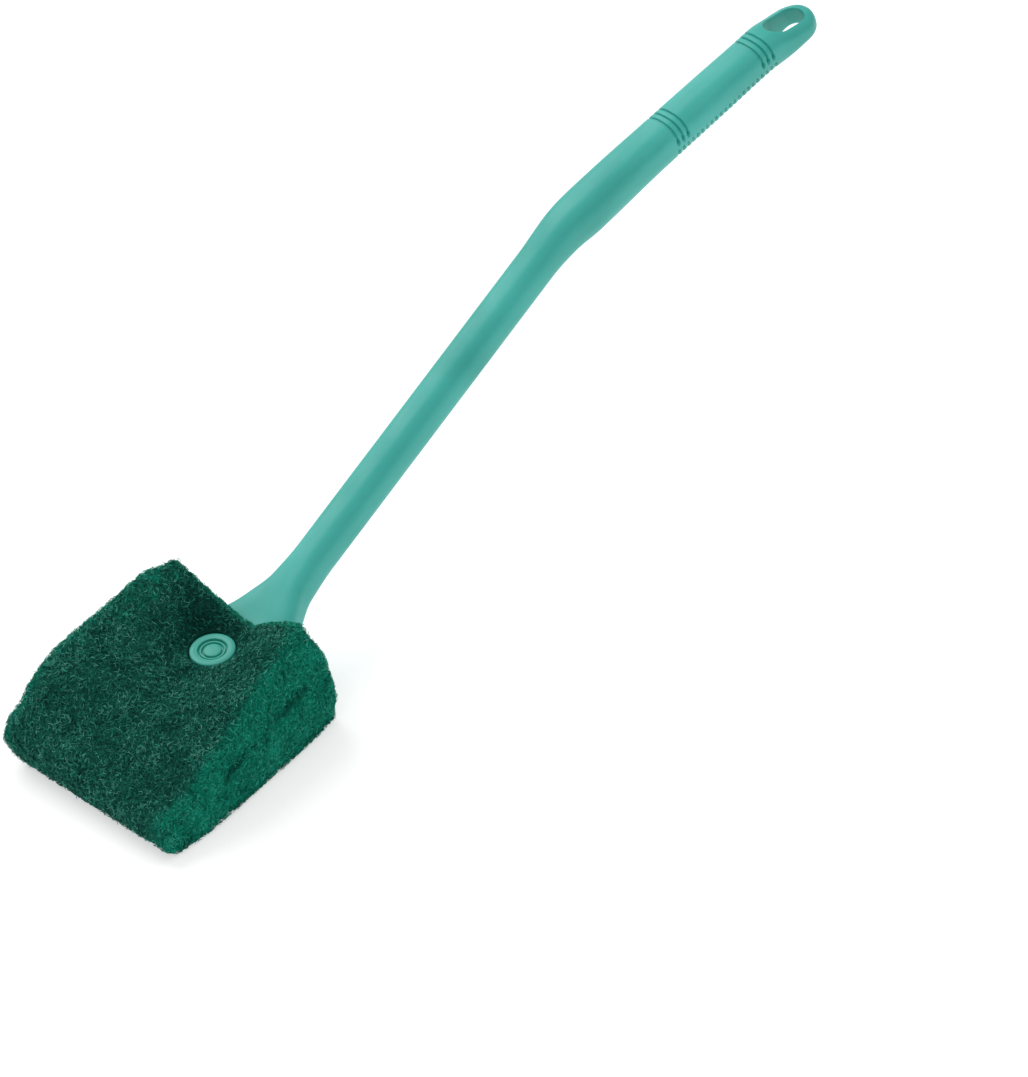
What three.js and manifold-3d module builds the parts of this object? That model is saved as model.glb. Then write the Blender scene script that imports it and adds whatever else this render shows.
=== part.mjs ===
// Double-sided aquarium algae scraper: a bent one-piece plastic handle whose flat paddle carries a
// folded scouring pad, held by a two-part snap button.
// Millimetres. X across the pad, Y from the pad towards the grip, Z up from the pad's lower face.
// The origin is the middle of the pad's flat lower working face.

import * as THREE from 'three';
import { mergeVertices } from 'three/addons/utils/BufferGeometryUtils.js';
import Module from 'manifold-3d';

const wasm = await Module();
wasm.setup();

// ---------------------------------------------------------------- driving dimensions
const BUTTON_Y = 30; // button axis behind the origin
const PADDLE_Z = 18.5; // middle of the paddle plate above the pad's lower face

// Handle: paddle, neck bend, straight shaft, kink, grip, hanging loop
const PADDLE_FRONT = 38; // paddle front edge ahead of the button axis
const PADDLE_HALF_WIDTH = 27;
const PADDLE_HALF_THICK = 1.5;
const PADDLE_CORNER_R = 9;
const NECK_CORNER = 15.2; // shaft line meets the paddle plane this far behind the button axis
const SHAFT_RISE = 22.6; // degrees above the paddle
const GRIP_RISE = 5.6; // degrees above the paddle
const SHAFT_LENGTH = 181; // neck corner to kink corner
const GRIP_LENGTH = 120.3; // kink corner to the tip of the loop
const NECK_BEND_R = 60;
const KINK_BEND_R = 34;
const SHAFT_HALF = 6.5;
const GRIP_HALF = 7.5;
const LOOP_HALF_WIDTH = 7.8;
const LOOP_HALF_THICK = 3.7; // at the tip of the loop
const LOOP_DROOP = 2.3; // the loop's middle hangs this far below the grip's
const SLOT_START = 101.2; // beyond the kink corner
const SLOT_LENGTH = 15.8;
const SLOT_WIDTH = 9.1;
const SECTION_POINTS = 32;

// Grip details
const RING_SETS = [48.5, 91]; // first ring of each set, beyond the kink corner
const RINGS_PER_SET = 3;
const RING_PITCH = 2.45;
const RING_WIDTH = 0.9;
const RING_DEPTH = 0.65;
const RING_END_ANGLE = 6; // degrees above the side where a ring groove stops
const NOTCH_START = 48;
const NOTCH_COUNT = 22;
const NOTCH_PITCH = 2.3;
const NOTCH_WIDTH = 1.0;
const NOTCH_DEPTH = 1.0;
const NOTCH_SIDE_ANGLE = 11; // degrees below the side where the finger notches begin

// Button: cap above, socket below, meeting through the paddle
const FLANGE_R = 8;
const FLANGE_THICK = 2;
const FLANGE_REACH = 10; // paddle middle to the outer face of either flange
const STEM_R = 3;
const SOCKET_BORE_R = 3.35;
const SOCKET_TUBE_R = 4.6;
const SOCKET_TUBE_TOP = 4.6; // above the paddle middle
const PADDLE_HOLE_R = 5;
const PAD_HOLE_R = 5.2;
const CLEARANCE = 0.35;
const FLANGE_PROUD = 0.5; // a flange's outer face above the fibre squeezed round it

// Scouring pad: one thick strip folded round the paddle's front edge
const PAD_NOSE = 64.2; // front of the fold ahead of the button axis
const PAD_NOSE_LENGTH = 8; // length of the rounded fold
const PAD_REAR = 18.5; // cut ends behind the button axis
const FRONT_SKEW = -0.022; // the hand-folded strip sits a little askew: Y shift per millimetre of X
const REAR_SKEW = 0.06;
const PAD_SLIT = 0.8; // gap between the two plies at the sides
const PAD_SLIT_FRONT = 46; // the gap reaches this far ahead of the button axis
const PAD_EDGE_R = 1.6; // softening of the cut edges
const PAD_COLUMNS = 22;

const DEG = Math.PI / 180;

// ---------------------------------------------------------------- general helpers

// A smooth curve through [position, value] keys that never overshoots between them.
function smoothThrough(keys) {
  const slopes = keys.map(([x, y], i) => {
    if (i === 0 || i === keys.length - 1) return 0;
    const before = (y - keys[i - 1][1]) / (x - keys[i - 1][0]);
    const after = (keys[i + 1][1] - y) / (keys[i + 1][0] - x);
    return before * after <= 0 ? 0 : (2 * before * after) / (before + after);
  });
  return (x) => {
    if (x <= keys[0][0]) return keys[0][1];
    const next = keys.findIndex((key) => key[0] > x);
    if (next < 0) return keys[keys.length - 1][1];
    const [x0, y0] = keys[next - 1];
    const [x1, y1] = keys[next];
    const span = x1 - x0;
    const t = (x - x0) / span;
    const rise = t * t * (3 - 2 * t);
    const bend = t * (1 - t) * ((1 - t) * slopes[next - 1] - t * slopes[next]) * span;
    return y0 + (y1 - y0) * rise + bend;
  };
}

const clamp01 = (t) => Math.min(1, Math.max(0, t));
const smoothstep = (from, to, x) => {
  const t = clamp01((x - from) / (to - from));
  return t * t * (3 - 2 * t);
};
const range = (count) => Array.from({ length: count }, (_, i) => i);
const evenly = (from, to, steps) => range(steps + 1).map((i) => from + ((to - from) * i) / steps);

// A closed body from rings of points that all run the same way round, capped at both ends.
function skin(rings) {
  const count = rings[0].length;
  const points = rings.flat();
  const index = [];
  for (let r = 0; r + 1 < rings.length; r += 1) {
    for (let i = 0; i < count; i += 1) {
      const a = r * count + i;
      const b = r * count + ((i + 1) % count);
      index.push(a, b, b + count, a, b + count, a + count);
    }
  }
  [0, rings.length - 1].forEach((r) => {
    const middle = new THREE.Vector3();
    rings[r].forEach((p) => middle.add(p));
    points.push(middle.divideScalar(count));
    const hub = points.length - 1;
    for (let i = 0; i < count; i += 1) {
      const a = r * count + i;
      const b = r * count + ((i + 1) % count);
      index.push(...(r === 0 ? [hub, b, a] : [hub, a, b]));
    }
  });
  const geometry = new THREE.BufferGeometry();
  const coordinates = points.flatMap((p) => [p.x, p.y, p.z]);
  geometry.setAttribute('position', new THREE.Float32BufferAttribute(coordinates, 3));
  geometry.setIndex(index);
  return geometry;
}

function toManifold(geometry) {
  const bare = new THREE.BufferGeometry();
  bare.setAttribute('position', geometry.getAttribute('position').clone());
  if (geometry.index) bare.setIndex(geometry.index.clone());
  const merged = mergeVertices(bare, 1e-4);
  const triVerts = new Uint32Array(merged.index.array);
  const vertProperties = new Float32Array(merged.getAttribute('position').array);
  return new wasm.Manifold(new wasm.Mesh({ numProp: 3, vertProperties, triVerts }));
}

function fromManifold(body) {
  const mesh = body.getMesh();
  const geometry = new THREE.BufferGeometry();
  geometry.setAttribute('position', new THREE.BufferAttribute(new Float32Array(mesh.vertProperties), 3));
  geometry.setIndex(new THREE.BufferAttribute(new Uint32Array(mesh.triVerts), 1));
  return geometry;
}

const cut = (body, cutters) => cutters.reduce((left, cutter) => left.subtract(toManifold(cutter)), body);

// An upright cylinder between two heights on the button axis.
function buttonCylinder(radius, low, high, segments = 40) {
  const cylinder = new THREE.CylinderGeometry(radius, radius, high - low, segments);
  cylinder.rotateX(Math.PI / 2);
  cylinder.translate(0, BUTTON_Y, (low + high) / 2);
  return cylinder;
}

// ---------------------------------------------------------------- handle spine
const neckTangent = NECK_BEND_R * Math.tan((SHAFT_RISE / 2) * DEG);
const kinkTangent = KINK_BEND_R * Math.tan(((SHAFT_RISE - GRIP_RISE) / 2) * DEG);
const SPINE = [
  { length: PADDLE_FRONT + NECK_CORNER - neckTangent, turn: 0 },
  { length: NECK_BEND_R * SHAFT_RISE * DEG, turn: SHAFT_RISE },
  { length: SHAFT_LENGTH - neckTangent - kinkTangent, turn: 0 },
  { length: KINK_BEND_R * (SHAFT_RISE - GRIP_RISE) * DEG, turn: GRIP_RISE - SHAFT_RISE },
  { length: GRIP_LENGTH - kinkTangent, turn: 0 },
];
const BEND_START = SPINE[0].length;
const SHAFT_START = BEND_START + SPINE[1].length;
const KINK = SHAFT_START + SPINE[2].length + SPINE[3].length / 2;
const TIP = SPINE.reduce((sum, piece) => sum + piece.length, 0);

// Place and slope of the spine at a distance from the paddle's front edge.
function spineAt(distance) {
  let y = BUTTON_Y - PADDLE_FRONT;
  let z = PADDLE_Z;
  let slope = 0;
  let left = distance;
  for (let i = 0; i < SPINE.length; i += 1) {
    const { length, turn } = SPINE[i];
    const last = i === SPINE.length - 1;
    const step = last ? left : Math.min(left, length);
    const bend = (turn * DEG * step) / length;
    const chord = bend === 0 ? step : (step * Math.sin(bend / 2)) / (bend / 2);
    y += chord * Math.cos(slope + bend / 2);
    z += chord * Math.sin(slope + bend / 2);
    slope += bend;
    left -= step;
    if (left <= 0 && !last) break;
  }
  return { y, z, slope };
}

// A point of the section at a distance along the spine: x across, up along the section's normal.
function fromSection(distance, x, up) {
  const { y, z, slope } = spineAt(distance);
  const lift = up + middleShift(distance);
  return new THREE.Vector3(x, y - lift * Math.sin(slope), z + lift * Math.cos(slope));
}

// ---------------------------------------------------------------- handle sections
const neckWidth = smoothThrough([
  [BEND_START - 12, PADDLE_HALF_WIDTH],
  [BEND_START + 3, 23.5],
  [BEND_START + 12, 19.5],
  [BEND_START + 21, 14.1],
  [BEND_START + 27, 11.2],
  [BEND_START + 37, 7.4],
  [BEND_START + 50, SHAFT_HALF],
]);
const gripWidth = smoothThrough([
  [KINK - 18, SHAFT_HALF],
  [KINK - 2, 7.15],
  [KINK + 10, GRIP_HALF + 0.25],
  [KINK + 44, GRIP_HALF],
  [KINK + 70, GRIP_HALF - 0.1],
  [KINK + 88, GRIP_HALF - 0.25],
  [KINK + 99, GRIP_HALF - 0.15],
  [KINK + 108, LOOP_HALF_WIDTH],
]);
const thickness = smoothThrough([
  [BEND_START - 12, PADDLE_HALF_THICK],
  [BEND_START + 3, 2.4],
  [BEND_START + 14, 4.4],
  [BEND_START + 27, 5.6],
  [BEND_START + 45, SHAFT_HALF],
  [KINK - 18, SHAFT_HALF],
  [KINK + 6, GRIP_HALF + 0.6],
  [KINK + 18, GRIP_HALF + 0.5],
  [KINK + 40, GRIP_HALF],
  [KINK + 70, GRIP_HALF - 0.2],
  [KINK + 88, GRIP_HALF - 0.45],
  [KINK + 99, 6.8],
  [KINK + 108, 5.1],
  [TIP, LOOP_HALF_THICK],
]);
const squareness = smoothThrough([
  [BEND_START - 12, 9],
  [BEND_START + 12, 6],
  [BEND_START + 30, 4],
  [BEND_START + 50, 2.8],
  [KINK + 90, 2.7],
  [KINK + 108, 3.2],
  [TIP, 2.7],
]);

function halfWidthAt(distance) {
  if (distance < PADDLE_CORNER_R) {
    const across = PADDLE_CORNER_R - distance;
    return PADDLE_HALF_WIDTH - PADDLE_CORNER_R + Math.sqrt(PADDLE_CORNER_R ** 2 - across ** 2);
  }
  const toTip = TIP - distance;
  if (toTip < LOOP_HALF_WIDTH) return Math.sqrt(LOOP_HALF_WIDTH ** 2 - (LOOP_HALF_WIDTH - toTip) ** 2);
  return distance < (SHAFT_START + KINK) / 2 ? neckWidth(distance) : gripWidth(distance);
}

// Height of the section's middle over the spine: the grip is fuller under the kink and the loop droops.
const middleShift = smoothThrough([
  [KINK - 14, 0],
  [KINK + 5, -0.9],
  [KINK + 16, -0.6],
  [KINK + 40, 0],
  [KINK + 95, 0],
  [KINK + 108, -1.45],
  [TIP, -LOOP_DROOP],
]);

// A superellipse corner point for an angle, with half-width a, half-height b and exponent p.
function superellipse(a, b, p, angle) {
  const cos = Math.cos(angle);
  const sin = Math.sin(angle);
  return {
    x: a * Math.sign(cos) * Math.abs(cos) ** (2 / p),
    up: b * Math.sign(sin) * Math.abs(sin) ** (2 / p),
  };
}

function sectionRing(distance, grow = 0) {
  const a = halfWidthAt(distance) + grow;
  const b = thickness(distance) + grow;
  const p = squareness(distance);
  return range(SECTION_POINTS).map((i) => {
    const { x, up } = superellipse(a, b, p, (2 * Math.PI * (i + 0.5)) / SECTION_POINTS);
    return fromSection(distance, x, up);
  });
}

const roundedEnd = (from, to, steps) =>
  range(steps + 1).map((i) => from + (to - from) * Math.sin((Math.PI / 2) * (i / steps)));

const HANDLE_STATIONS = [
  ...roundedEnd(PADDLE_CORNER_R, 0.02, 6).reverse(),
  ...evenly(BEND_START - 12, BEND_START + 50, 20),
  ...evenly(BEND_START + 70, KINK - 20, 5),
  ...evenly(KINK - 16, KINK + 16, 14),
  ...evenly(KINK + 28, KINK + 88, 6),
  ...evenly(KINK + 92, TIP - LOOP_HALF_WIDTH, 8),
  ...roundedEnd(TIP - LOOP_HALF_WIDTH, TIP - 0.05, 7).slice(1),
];

// ---------------------------------------------------------------- grip cutters

// A slab lying across the spine that follows the section between two angles.
function bandCutter(distance, width, depth, fromAngle, toAngle, steps) {
  const a = halfWidthAt(distance);
  const b = thickness(distance);
  const p = squareness(distance);
  const rings = evenly(fromAngle * DEG, toAngle * DEG, steps).map((angle) => {
    const inner = superellipse(a - depth, b - depth, p, angle);
    const outer = superellipse(a + 1.5, b + 1.5, p, angle);
    return [
      fromSection(distance - width / 2, inner.x, inner.up),
      fromSection(distance - width / 2, outer.x, outer.up),
      fromSection(distance + width / 2, outer.x, outer.up),
      fromSection(distance + width / 2, inner.x, inner.up),
    ];
  });
  return facingOut(skin(rings));
}

// Turns a closed surface outwards if its volume comes out negative.
function facingOut(geometry) {
  const at = geometry.getAttribute('position');
  const index = geometry.index.array;
  let volume = 0;
  const [a, b, c] = [new THREE.Vector3(), new THREE.Vector3(), new THREE.Vector3()];
  for (let i = 0; i < index.length; i += 3) {
    a.fromBufferAttribute(at, index[i]);
    b.fromBufferAttribute(at, index[i + 1]);
    c.fromBufferAttribute(at, index[i + 2]);
    volume += a.dot(b.cross(c));
  }
  if (volume < 0) {
    for (let i = 0; i < index.length; i += 3) {
      const keep = index[i + 1];
      index[i + 1] = index[i + 2];
      index[i + 2] = keep;
    }
  }
  return geometry;
}

// A small pit where a ring groove ends on the grip's side.
function ringEndPit(distance, side) {
  const angle = side > 0 ? RING_END_ANGLE * DEG : Math.PI - RING_END_ANGLE * DEG;
  const { x, up } = superellipse(halfWidthAt(distance), thickness(distance), squareness(distance), angle);
  const pit = new THREE.CylinderGeometry(0.75, 0.55, 3, 8);
  const centre = fromSection(distance, x, up);
  const inner = fromSection(distance, 0, 0);
  const out = centre.clone().sub(inner).normalize();
  pit.applyQuaternion(new THREE.Quaternion().setFromUnitVectors(new THREE.Vector3(0, 1, 0), out));
  pit.translate(centre.x + out.x * 0.3, centre.y + out.y * 0.3, centre.z + out.z * 0.3);
  return pit;
}

// The hanging slot: a stadium prism square to the loop.
function slotCutter() {
  const radius = SLOT_WIDTH / 2;
  const start = KINK + SLOT_START + radius;
  const end = KINK + SLOT_START + SLOT_LENGTH - radius;
  const arc = (centre, from) =>
    evenly(from, from + Math.PI, 10).map((a) => [centre + radius * Math.cos(a), radius * Math.sin(a)]);
  const outline = [...arc(end, -Math.PI / 2), ...arc(start, Math.PI / 2)];
  const level = (up) => outline.map(([distance, x]) => fromSection(distance, x, up));
  return facingOut(skin([level(-12), level(12)]));
}

function makeHandle() {
  const body = toManifold(facingOut(skin(HANDLE_STATIONS.map((distance) => sectionRing(distance)))));
  const cutters = [slotCutter(), buttonCylinder(PADDLE_HOLE_R, PADDLE_Z - 10, PADDLE_Z + 10)];
  RING_SETS.forEach((first) => {
    range(RINGS_PER_SET).forEach((i) => {
      const at = KINK + first + i * RING_PITCH;
      cutters.push(bandCutter(at, RING_WIDTH, RING_DEPTH, RING_END_ANGLE, 180 - RING_END_ANGLE, 14));
      cutters.push(ringEndPit(at, 1), ringEndPit(at, -1));
    });
  });
  range(NOTCH_COUNT).forEach((i) => {
    const at = KINK + NOTCH_START + i * NOTCH_PITCH;
    const ends = [180 + NOTCH_SIDE_ANGLE, 360 - NOTCH_SIDE_ANGLE];
    cutters.push(bandCutter(at, NOTCH_WIDTH, NOTCH_DEPTH, ...ends, 6));
  });
  return fromManifold(cut(body, cutters));
}

// ---------------------------------------------------------------- scouring pad
// Heights of the pad's surfaces, against Y measured from the button axis.
const FLANGE_SEAT = FLANGE_REACH - FLANGE_THICK - CLEARANCE; // paddle middle to the pad under a flange
const SQUEEZED = FLANGE_REACH - FLANGE_PROUD; // and to the pad's surface beside the flange
const FOLD_BACK = PAD_NOSE_LENGTH - PAD_NOSE; // where the rounded fold meets the two plies
const topAtLeft = smoothThrough([
  [FOLD_BACK, 22],
  [-50, 26.5],
  [-38, 33.5],
  [-21, 37.5],
  [-6, 40.3],
  [5, 42.5],
  [PAD_REAR, 42.3],
]);
const topAtRight = smoothThrough([
  [FOLD_BACK, 15],
  [-46, 21],
  [-32, 28.5],
  [-15, 34.5],
  [3, 38.8],
  [PAD_REAR, 40.5],
]);
const topAtMiddle = smoothThrough([
  [FOLD_BACK, 17.5],
  [-45, 23.5],
  [-32, 27.5],
  [-21, 28.3],
  [-9, PADDLE_Z + SQUEEZED],
  [9, PADDLE_Z + SQUEEZED - 0.2],
  [PAD_REAR, PADDLE_Z + SQUEEZED - 1],
]);
const bottomAtMiddle = smoothThrough([
  [-19, 0],
  [-9, PADDLE_Z - SQUEEZED],
  [9, PADDLE_Z - SQUEEZED],
  [PAD_REAR, PADDLE_Z - SQUEEZED + 0.5],
]);
const slitAtSides = smoothThrough([
  [-PAD_SLIT_FRONT, -5],
  [-37, -2.5],
  [-15, 2.5],
  [0, 5],
  [PAD_REAR, 6.5],
]);
// Half-widths of the long edges: of the upper ply's top, of the cut sides' middle (where the right side's
// upper ply steps in a little, its shoulder), and of the bottom.
const EDGES = {
  leftTop: smoothThrough([[-60, 40.5], [-50, 41], [-36, 40], [-20, 38], [4, 35.3], [PAD_REAR, 32.5]]),
  rightTop: smoothThrough([[-60, 35.5], [-46, 37], [-32, 37.5], [-15, 35], [3, 31.5], [PAD_REAR, 27]]),
  leftMiddle: smoothThrough([[-62, 41], [-40, 41.5], [-16, 39.5], [PAD_REAR, 36]]),
  rightShoulder: smoothThrough([[-62, 38.5], [-46, 39.5], [-16, 38], [PAD_REAR, 35.4]]),
  rightMiddle: smoothThrough([[-62, 38.5], [-46, 39.5], [-16, 38.5], [PAD_REAR, 37]]),
  leftBottom: smoothThrough([[-62, 38.5], [-46, 40], [-16, 38.5], [5, 36.5], [PAD_REAR, 34]]),
  rightBottom: smoothThrough([[-62, 39], [-46, 40], [-16, 38.2], [5, 36.5], [PAD_REAR, 34.5]]),
};
const VALLEY_X = 2.5; // line of the valley that the button pulls into the upper ply
const PULL_LEFT = 36;
const PULL_RIGHT = 27;
const LEFT_LATENESS = 1.35; // how late the left flap's rise comes; the right flap's comes at once
const RIGHT_HASTE = 1.6;
const PULL_BELOW = 26;
const DIMPLE_SLOPE = 0.85; // the fibre squeezed down round the upper flange rises no steeper than this
const DIMPLE_SOFTNESS = 1.2;

// Share of the side's height reached at x: the left flap rises late, the right flap at once.
function flapShare(x) {
  if (x < VALLEY_X) return clamp01((VALLEY_X - x) / PULL_LEFT) ** LEFT_LATENESS;
  return 1 - (1 - clamp01((x - VALLEY_X) / PULL_RIGHT)) ** RIGHT_HASTE;
}

// How far the rounded fold has closed in, as a share of its half-height.
function foldClosing(y) {
  const fromNose = Math.max(0, y + PAD_NOSE);
  if (fromNose >= PAD_NOSE_LENGTH) return 0;
  return 1 - Math.sqrt(1 - (1 - fromNose / PAD_NOSE_LENGTH) ** 2);
}

// The lower of two heights, rounded off where they meet.
function softMin(a, b, softness) {
  const near = clamp01(0.5 + (a - b) / (2 * softness));
  return a + (b - a) * near - softness * near * (1 - near);
}

function padHeights(x, y) {
  const side = x < VALLEY_X ? topAtLeft(y) : topAtRight(y);
  const flap = topAtMiddle(y) + (side - topAtMiddle(y)) * flapShare(x);
  const fromFlange = Math.max(0, Math.hypot(x, y) - FLANGE_R - CLEARANCE);
  const dimple = PADDLE_Z + SQUEEZED + DIMPLE_SOFTNESS / 4 + DIMPLE_SLOPE * fromFlange;
  const open = softMin(flap, dimple, DIMPLE_SOFTNESS);
  const lifted = bottomAtMiddle(y) * (1 - smoothstep(1, PULL_BELOW, Math.abs(x)));
  const close = (foldClosing(y) * (open - lifted)) / 2;
  return { top: open - close, bottom: lifted + close };
}

// The strip's two ends and its fold are not quite square to the handle.
const askew = (x, y) =>
  x * (FRONT_SKEW * (1 - smoothstep(-58, -14, y)) + REAR_SKEW * smoothstep(-14, 14, y));

// One section across the pad: over the top from left to right, down the right side, back underneath
// and up the left side.
function padRing(y, inset) {
  const upper = [];
  const lower = [];
  const place = (x, z) => new THREE.Vector3(x, BUTTON_Y + y + askew(x, y), z);
  evenly(-1, 1, PAD_COLUMNS).forEach((t) => {
    const spread = 0.4 * Math.sin((t * Math.PI) / 2) + 0.6 * t;
    const xTop = spread * ((t < 0 ? EDGES.leftTop(y) : EDGES.rightTop(y)) - inset);
    const xBottom = spread * ((t < 0 ? EDGES.leftBottom(y) : EDGES.rightBottom(y)) - inset);
    const { top } = padHeights(xTop, y);
    const { bottom } = padHeights(xBottom, y);
    const softEdge = Math.min(inset + PAD_EDGE_R * smoothstep(0.9, 1, Math.abs(t)), (top - bottom) / 3);
    upper.push(place(xTop, top - softEdge));
    lower.unshift(place(xBottom, bottom + softEdge));
  });
  const side = (ends, across) =>
    [0.35, 0.65].map((share, i) => place(across[i], ends[0].z + (ends[1].z - ends[0].z) * share));
  const right = [EDGES.rightShoulder(y) - inset, EDGES.rightMiddle(y) - inset];
  const left = inset - EDGES.leftMiddle(y);
  const last = upper.length - 1;
  return [
    ...upper,
    ...side([upper[last], lower[0]], right),
    ...lower,
    ...side([lower[last], upper[0]], [left, left]),
  ];
}

// The gap between the plies: a thin sheet wider and longer than the pad, following the paddle in the
// middle and the upper ply's rise at the sides.
function slitCutter() {
  const ring = (y) => {
    const across = evenly(-50, 50, 40).map((x) => {
      const lift = slitAtSides(y) * smoothstep(PADDLE_HALF_WIDTH + 1, 37, Math.abs(x));
      return new THREE.Vector3(x, BUTTON_Y + y, PADDLE_Z + lift);
    });
    const raised = (by) => across.map((p) => new THREE.Vector3(p.x, p.y, p.z + by));
    return [...raised(PAD_SLIT / 2), ...raised(-PAD_SLIT / 2).reverse()];
  };
  return facingOut(skin(evenly(-PAD_SLIT_FRONT, PAD_REAR + 10, 12).map(ring)));
}

// The space the paddle and neck fill, with clearance all round.
function paddlePocket() {
  const reach = BEND_START + 40;
  const stations = [
    -CLEARANCE,
    ...roundedEnd(PADDLE_CORNER_R, 0.02, 6).reverse().slice(1),
    ...evenly(BEND_START - 12, reach, 16),
  ];
  const grown = (distance) => {
    const a = halfWidthAt(Math.max(distance, 0.3)) + CLEARANCE;
    const b = thickness(distance) + CLEARANCE;
    return range(SECTION_POINTS).map((i) => {
      const angle = (2 * Math.PI * (i + 0.5)) / SECTION_POINTS;
      const { x, up } = superellipse(a, b, squareness(distance) + 1, angle);
      return fromSection(distance, x, up);
    });
  };
  return facingOut(skin(stations.map(grown)));
}

function makePad() {
  const noseAngles = [10, 28, 46, 66].map((angle) => angle * DEG);
  const rings = [
    ...noseAngles.map((angle) => padRing(-PAD_NOSE + PAD_NOSE_LENGTH * (1 - Math.cos(angle)), 0)),
    ...evenly(FOLD_BACK, PAD_REAR - PAD_EDGE_R, 16).map((y) => padRing(y, 0)),
    padRing(PAD_REAR - PAD_EDGE_R / 3, PAD_EDGE_R / 3),
    padRing(PAD_REAR, PAD_EDGE_R),
  ];
  const body = toManifold(facingOut(skin(rings)));
  const above = PADDLE_Z + FLANGE_SEAT;
  const below = PADDLE_Z - FLANGE_SEAT;
  const cutters = [
    slitCutter(),
    paddlePocket(),
    buttonCylinder(PAD_HOLE_R, -5, 60),
    buttonCylinder(FLANGE_R + CLEARANCE, above, 60),
    buttonCylinder(FLANGE_R + CLEARANCE, -5, below),
  ];
  return fromManifold(cut(body, cutters));
}

// ---------------------------------------------------------------- snap button
const RIM_R = 0.5; // rounding of the flange's edge
const RECESS_R = 5.2; // round recess in the flange's outer face
const RECESS_DEPTH = 0.6;
const DISC_R = 3.3; // plain disc in the middle of the recess, inside a ring groove
const GROOVE_WIDTH = 0.65;
const GROOVE_DEPTH = 1.1; // below the flange's outer face
const DISC_CROWN = 0.25;
const STEM_END = FLANGE_REACH - FLANGE_THICK - 0.8; // stem tip below the paddle middle
const BORE_FLOOR = FLANGE_REACH - FLANGE_THICK - 0.3;

// Outer face of a flange from its edge to its centre, as [radius, height above the flange's inner side].
function flangeFace() {
  const top = FLANGE_THICK;
  const floor = top - RECESS_DEPTH;
  const groove = top - GROOVE_DEPTH;
  const corner = evenly(0, Math.PI / 2, 4).map((angle) => [
    FLANGE_R - RIM_R + RIM_R * Math.cos(angle),
    top - RIM_R + RIM_R * Math.sin(angle),
  ]);
  return [
    ...corner,
    [RECESS_R + 0.15, top],
    [RECESS_R, top - 0.15],
    [RECESS_R - 0.1, floor],
    [DISC_R + GROOVE_WIDTH, floor],
    [DISC_R + GROOVE_WIDTH - 0.1, groove],
    [DISC_R + 0.05, groove],
    [DISC_R, floor],
    [DISC_R / 2, floor + 0.75 * DISC_CROWN],
    [0, floor + DISC_CROWN],
  ];
}

function lathe(profile) {
  const turned = new THREE.LatheGeometry(profile.map(([r, z]) => new THREE.Vector2(r, z)), 32);
  turned.rotateX(Math.PI / 2);
  turned.translate(0, BUTTON_Y, 0);
  return facingOut(indexed(turned));
}

function indexed(geometry) {
  const bare = new THREE.BufferGeometry();
  bare.setAttribute('position', geometry.getAttribute('position').clone());
  bare.setIndex(geometry.index.clone());
  return mergeVertices(bare, 1e-4);
}

function makeButtonCap() {
  const innerSide = PADDLE_Z + FLANGE_REACH - FLANGE_THICK;
  const tip = PADDLE_Z - STEM_END;
  const profile = [
    [0, tip],
    [STEM_R - 0.8, tip],
    [STEM_R - 0.3, tip + 0.6],
    [STEM_R, tip + 1.6],
    [STEM_R, tip + 2.4],
    [STEM_R - 0.3, tip + 3.2],
    [STEM_R - 0.3, innerSide],
    [FLANGE_R, innerSide],
    ...flangeFace().map(([r, z]) => [r, innerSide + z]),
  ];
  return fromManifold(toManifold(lathe(profile)));
}

function makeButtonSocket() {
  const innerSide = PADDLE_Z - FLANGE_REACH + FLANGE_THICK;
  const tubeTop = PADDLE_Z + SOCKET_TUBE_TOP;
  const profile = [
    [0, PADDLE_Z - BORE_FLOOR],
    [SOCKET_BORE_R, PADDLE_Z - BORE_FLOOR],
    [SOCKET_BORE_R, tubeTop - 0.4],
    [SOCKET_BORE_R + 0.3, tubeTop],
    [SOCKET_TUBE_R - 0.4, tubeTop],
    [SOCKET_TUBE_R, tubeTop - 0.4],
    [SOCKET_TUBE_R, innerSide],
    [FLANGE_R, innerSide],
    ...flangeFace().map(([r, z]) => [r, innerSide - z]),
  ];
  return fromManifold(toManifold(lathe(profile)));
}

// ---------------------------------------------------------------- assembly
const plastic = () => new THREE.MeshStandardMaterial({ color: 0x46ae9b, roughness: 0.45 });
const fibre = () => new THREE.MeshStandardMaterial({ color: 0x146650, roughness: 0.95 });

function named(name, geometry, material) {
  const mesh = new THREE.Mesh(geometry, material);
  mesh.name = name;
  return mesh;
}

const scraper = new THREE.Group();
scraper.name = 'algae_scraper';
scraper.add(named('handle', makeHandle(), plastic()));
scraper.add(named('scouring_pad', makePad(), fibre()));
scraper.add(named('button_cap', makeButtonCap(), plastic()));
scraper.add(named('button_socket', makeButtonSocket(), plastic()));

export default scraper;
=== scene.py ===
"""Double-sided aquarium algae scraper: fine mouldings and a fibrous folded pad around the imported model.

Shapes are worked out in millimetres in the model's frame (X across the pad, Y from the pad to the grip,
Z up from the pad's lower face) and handed to Blender in metres.
"""

import math

import bmesh
import bpy
import numpy as np
from mathutils import Matrix, Vector
from mathutils.bvhtree import BVHTree


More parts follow.
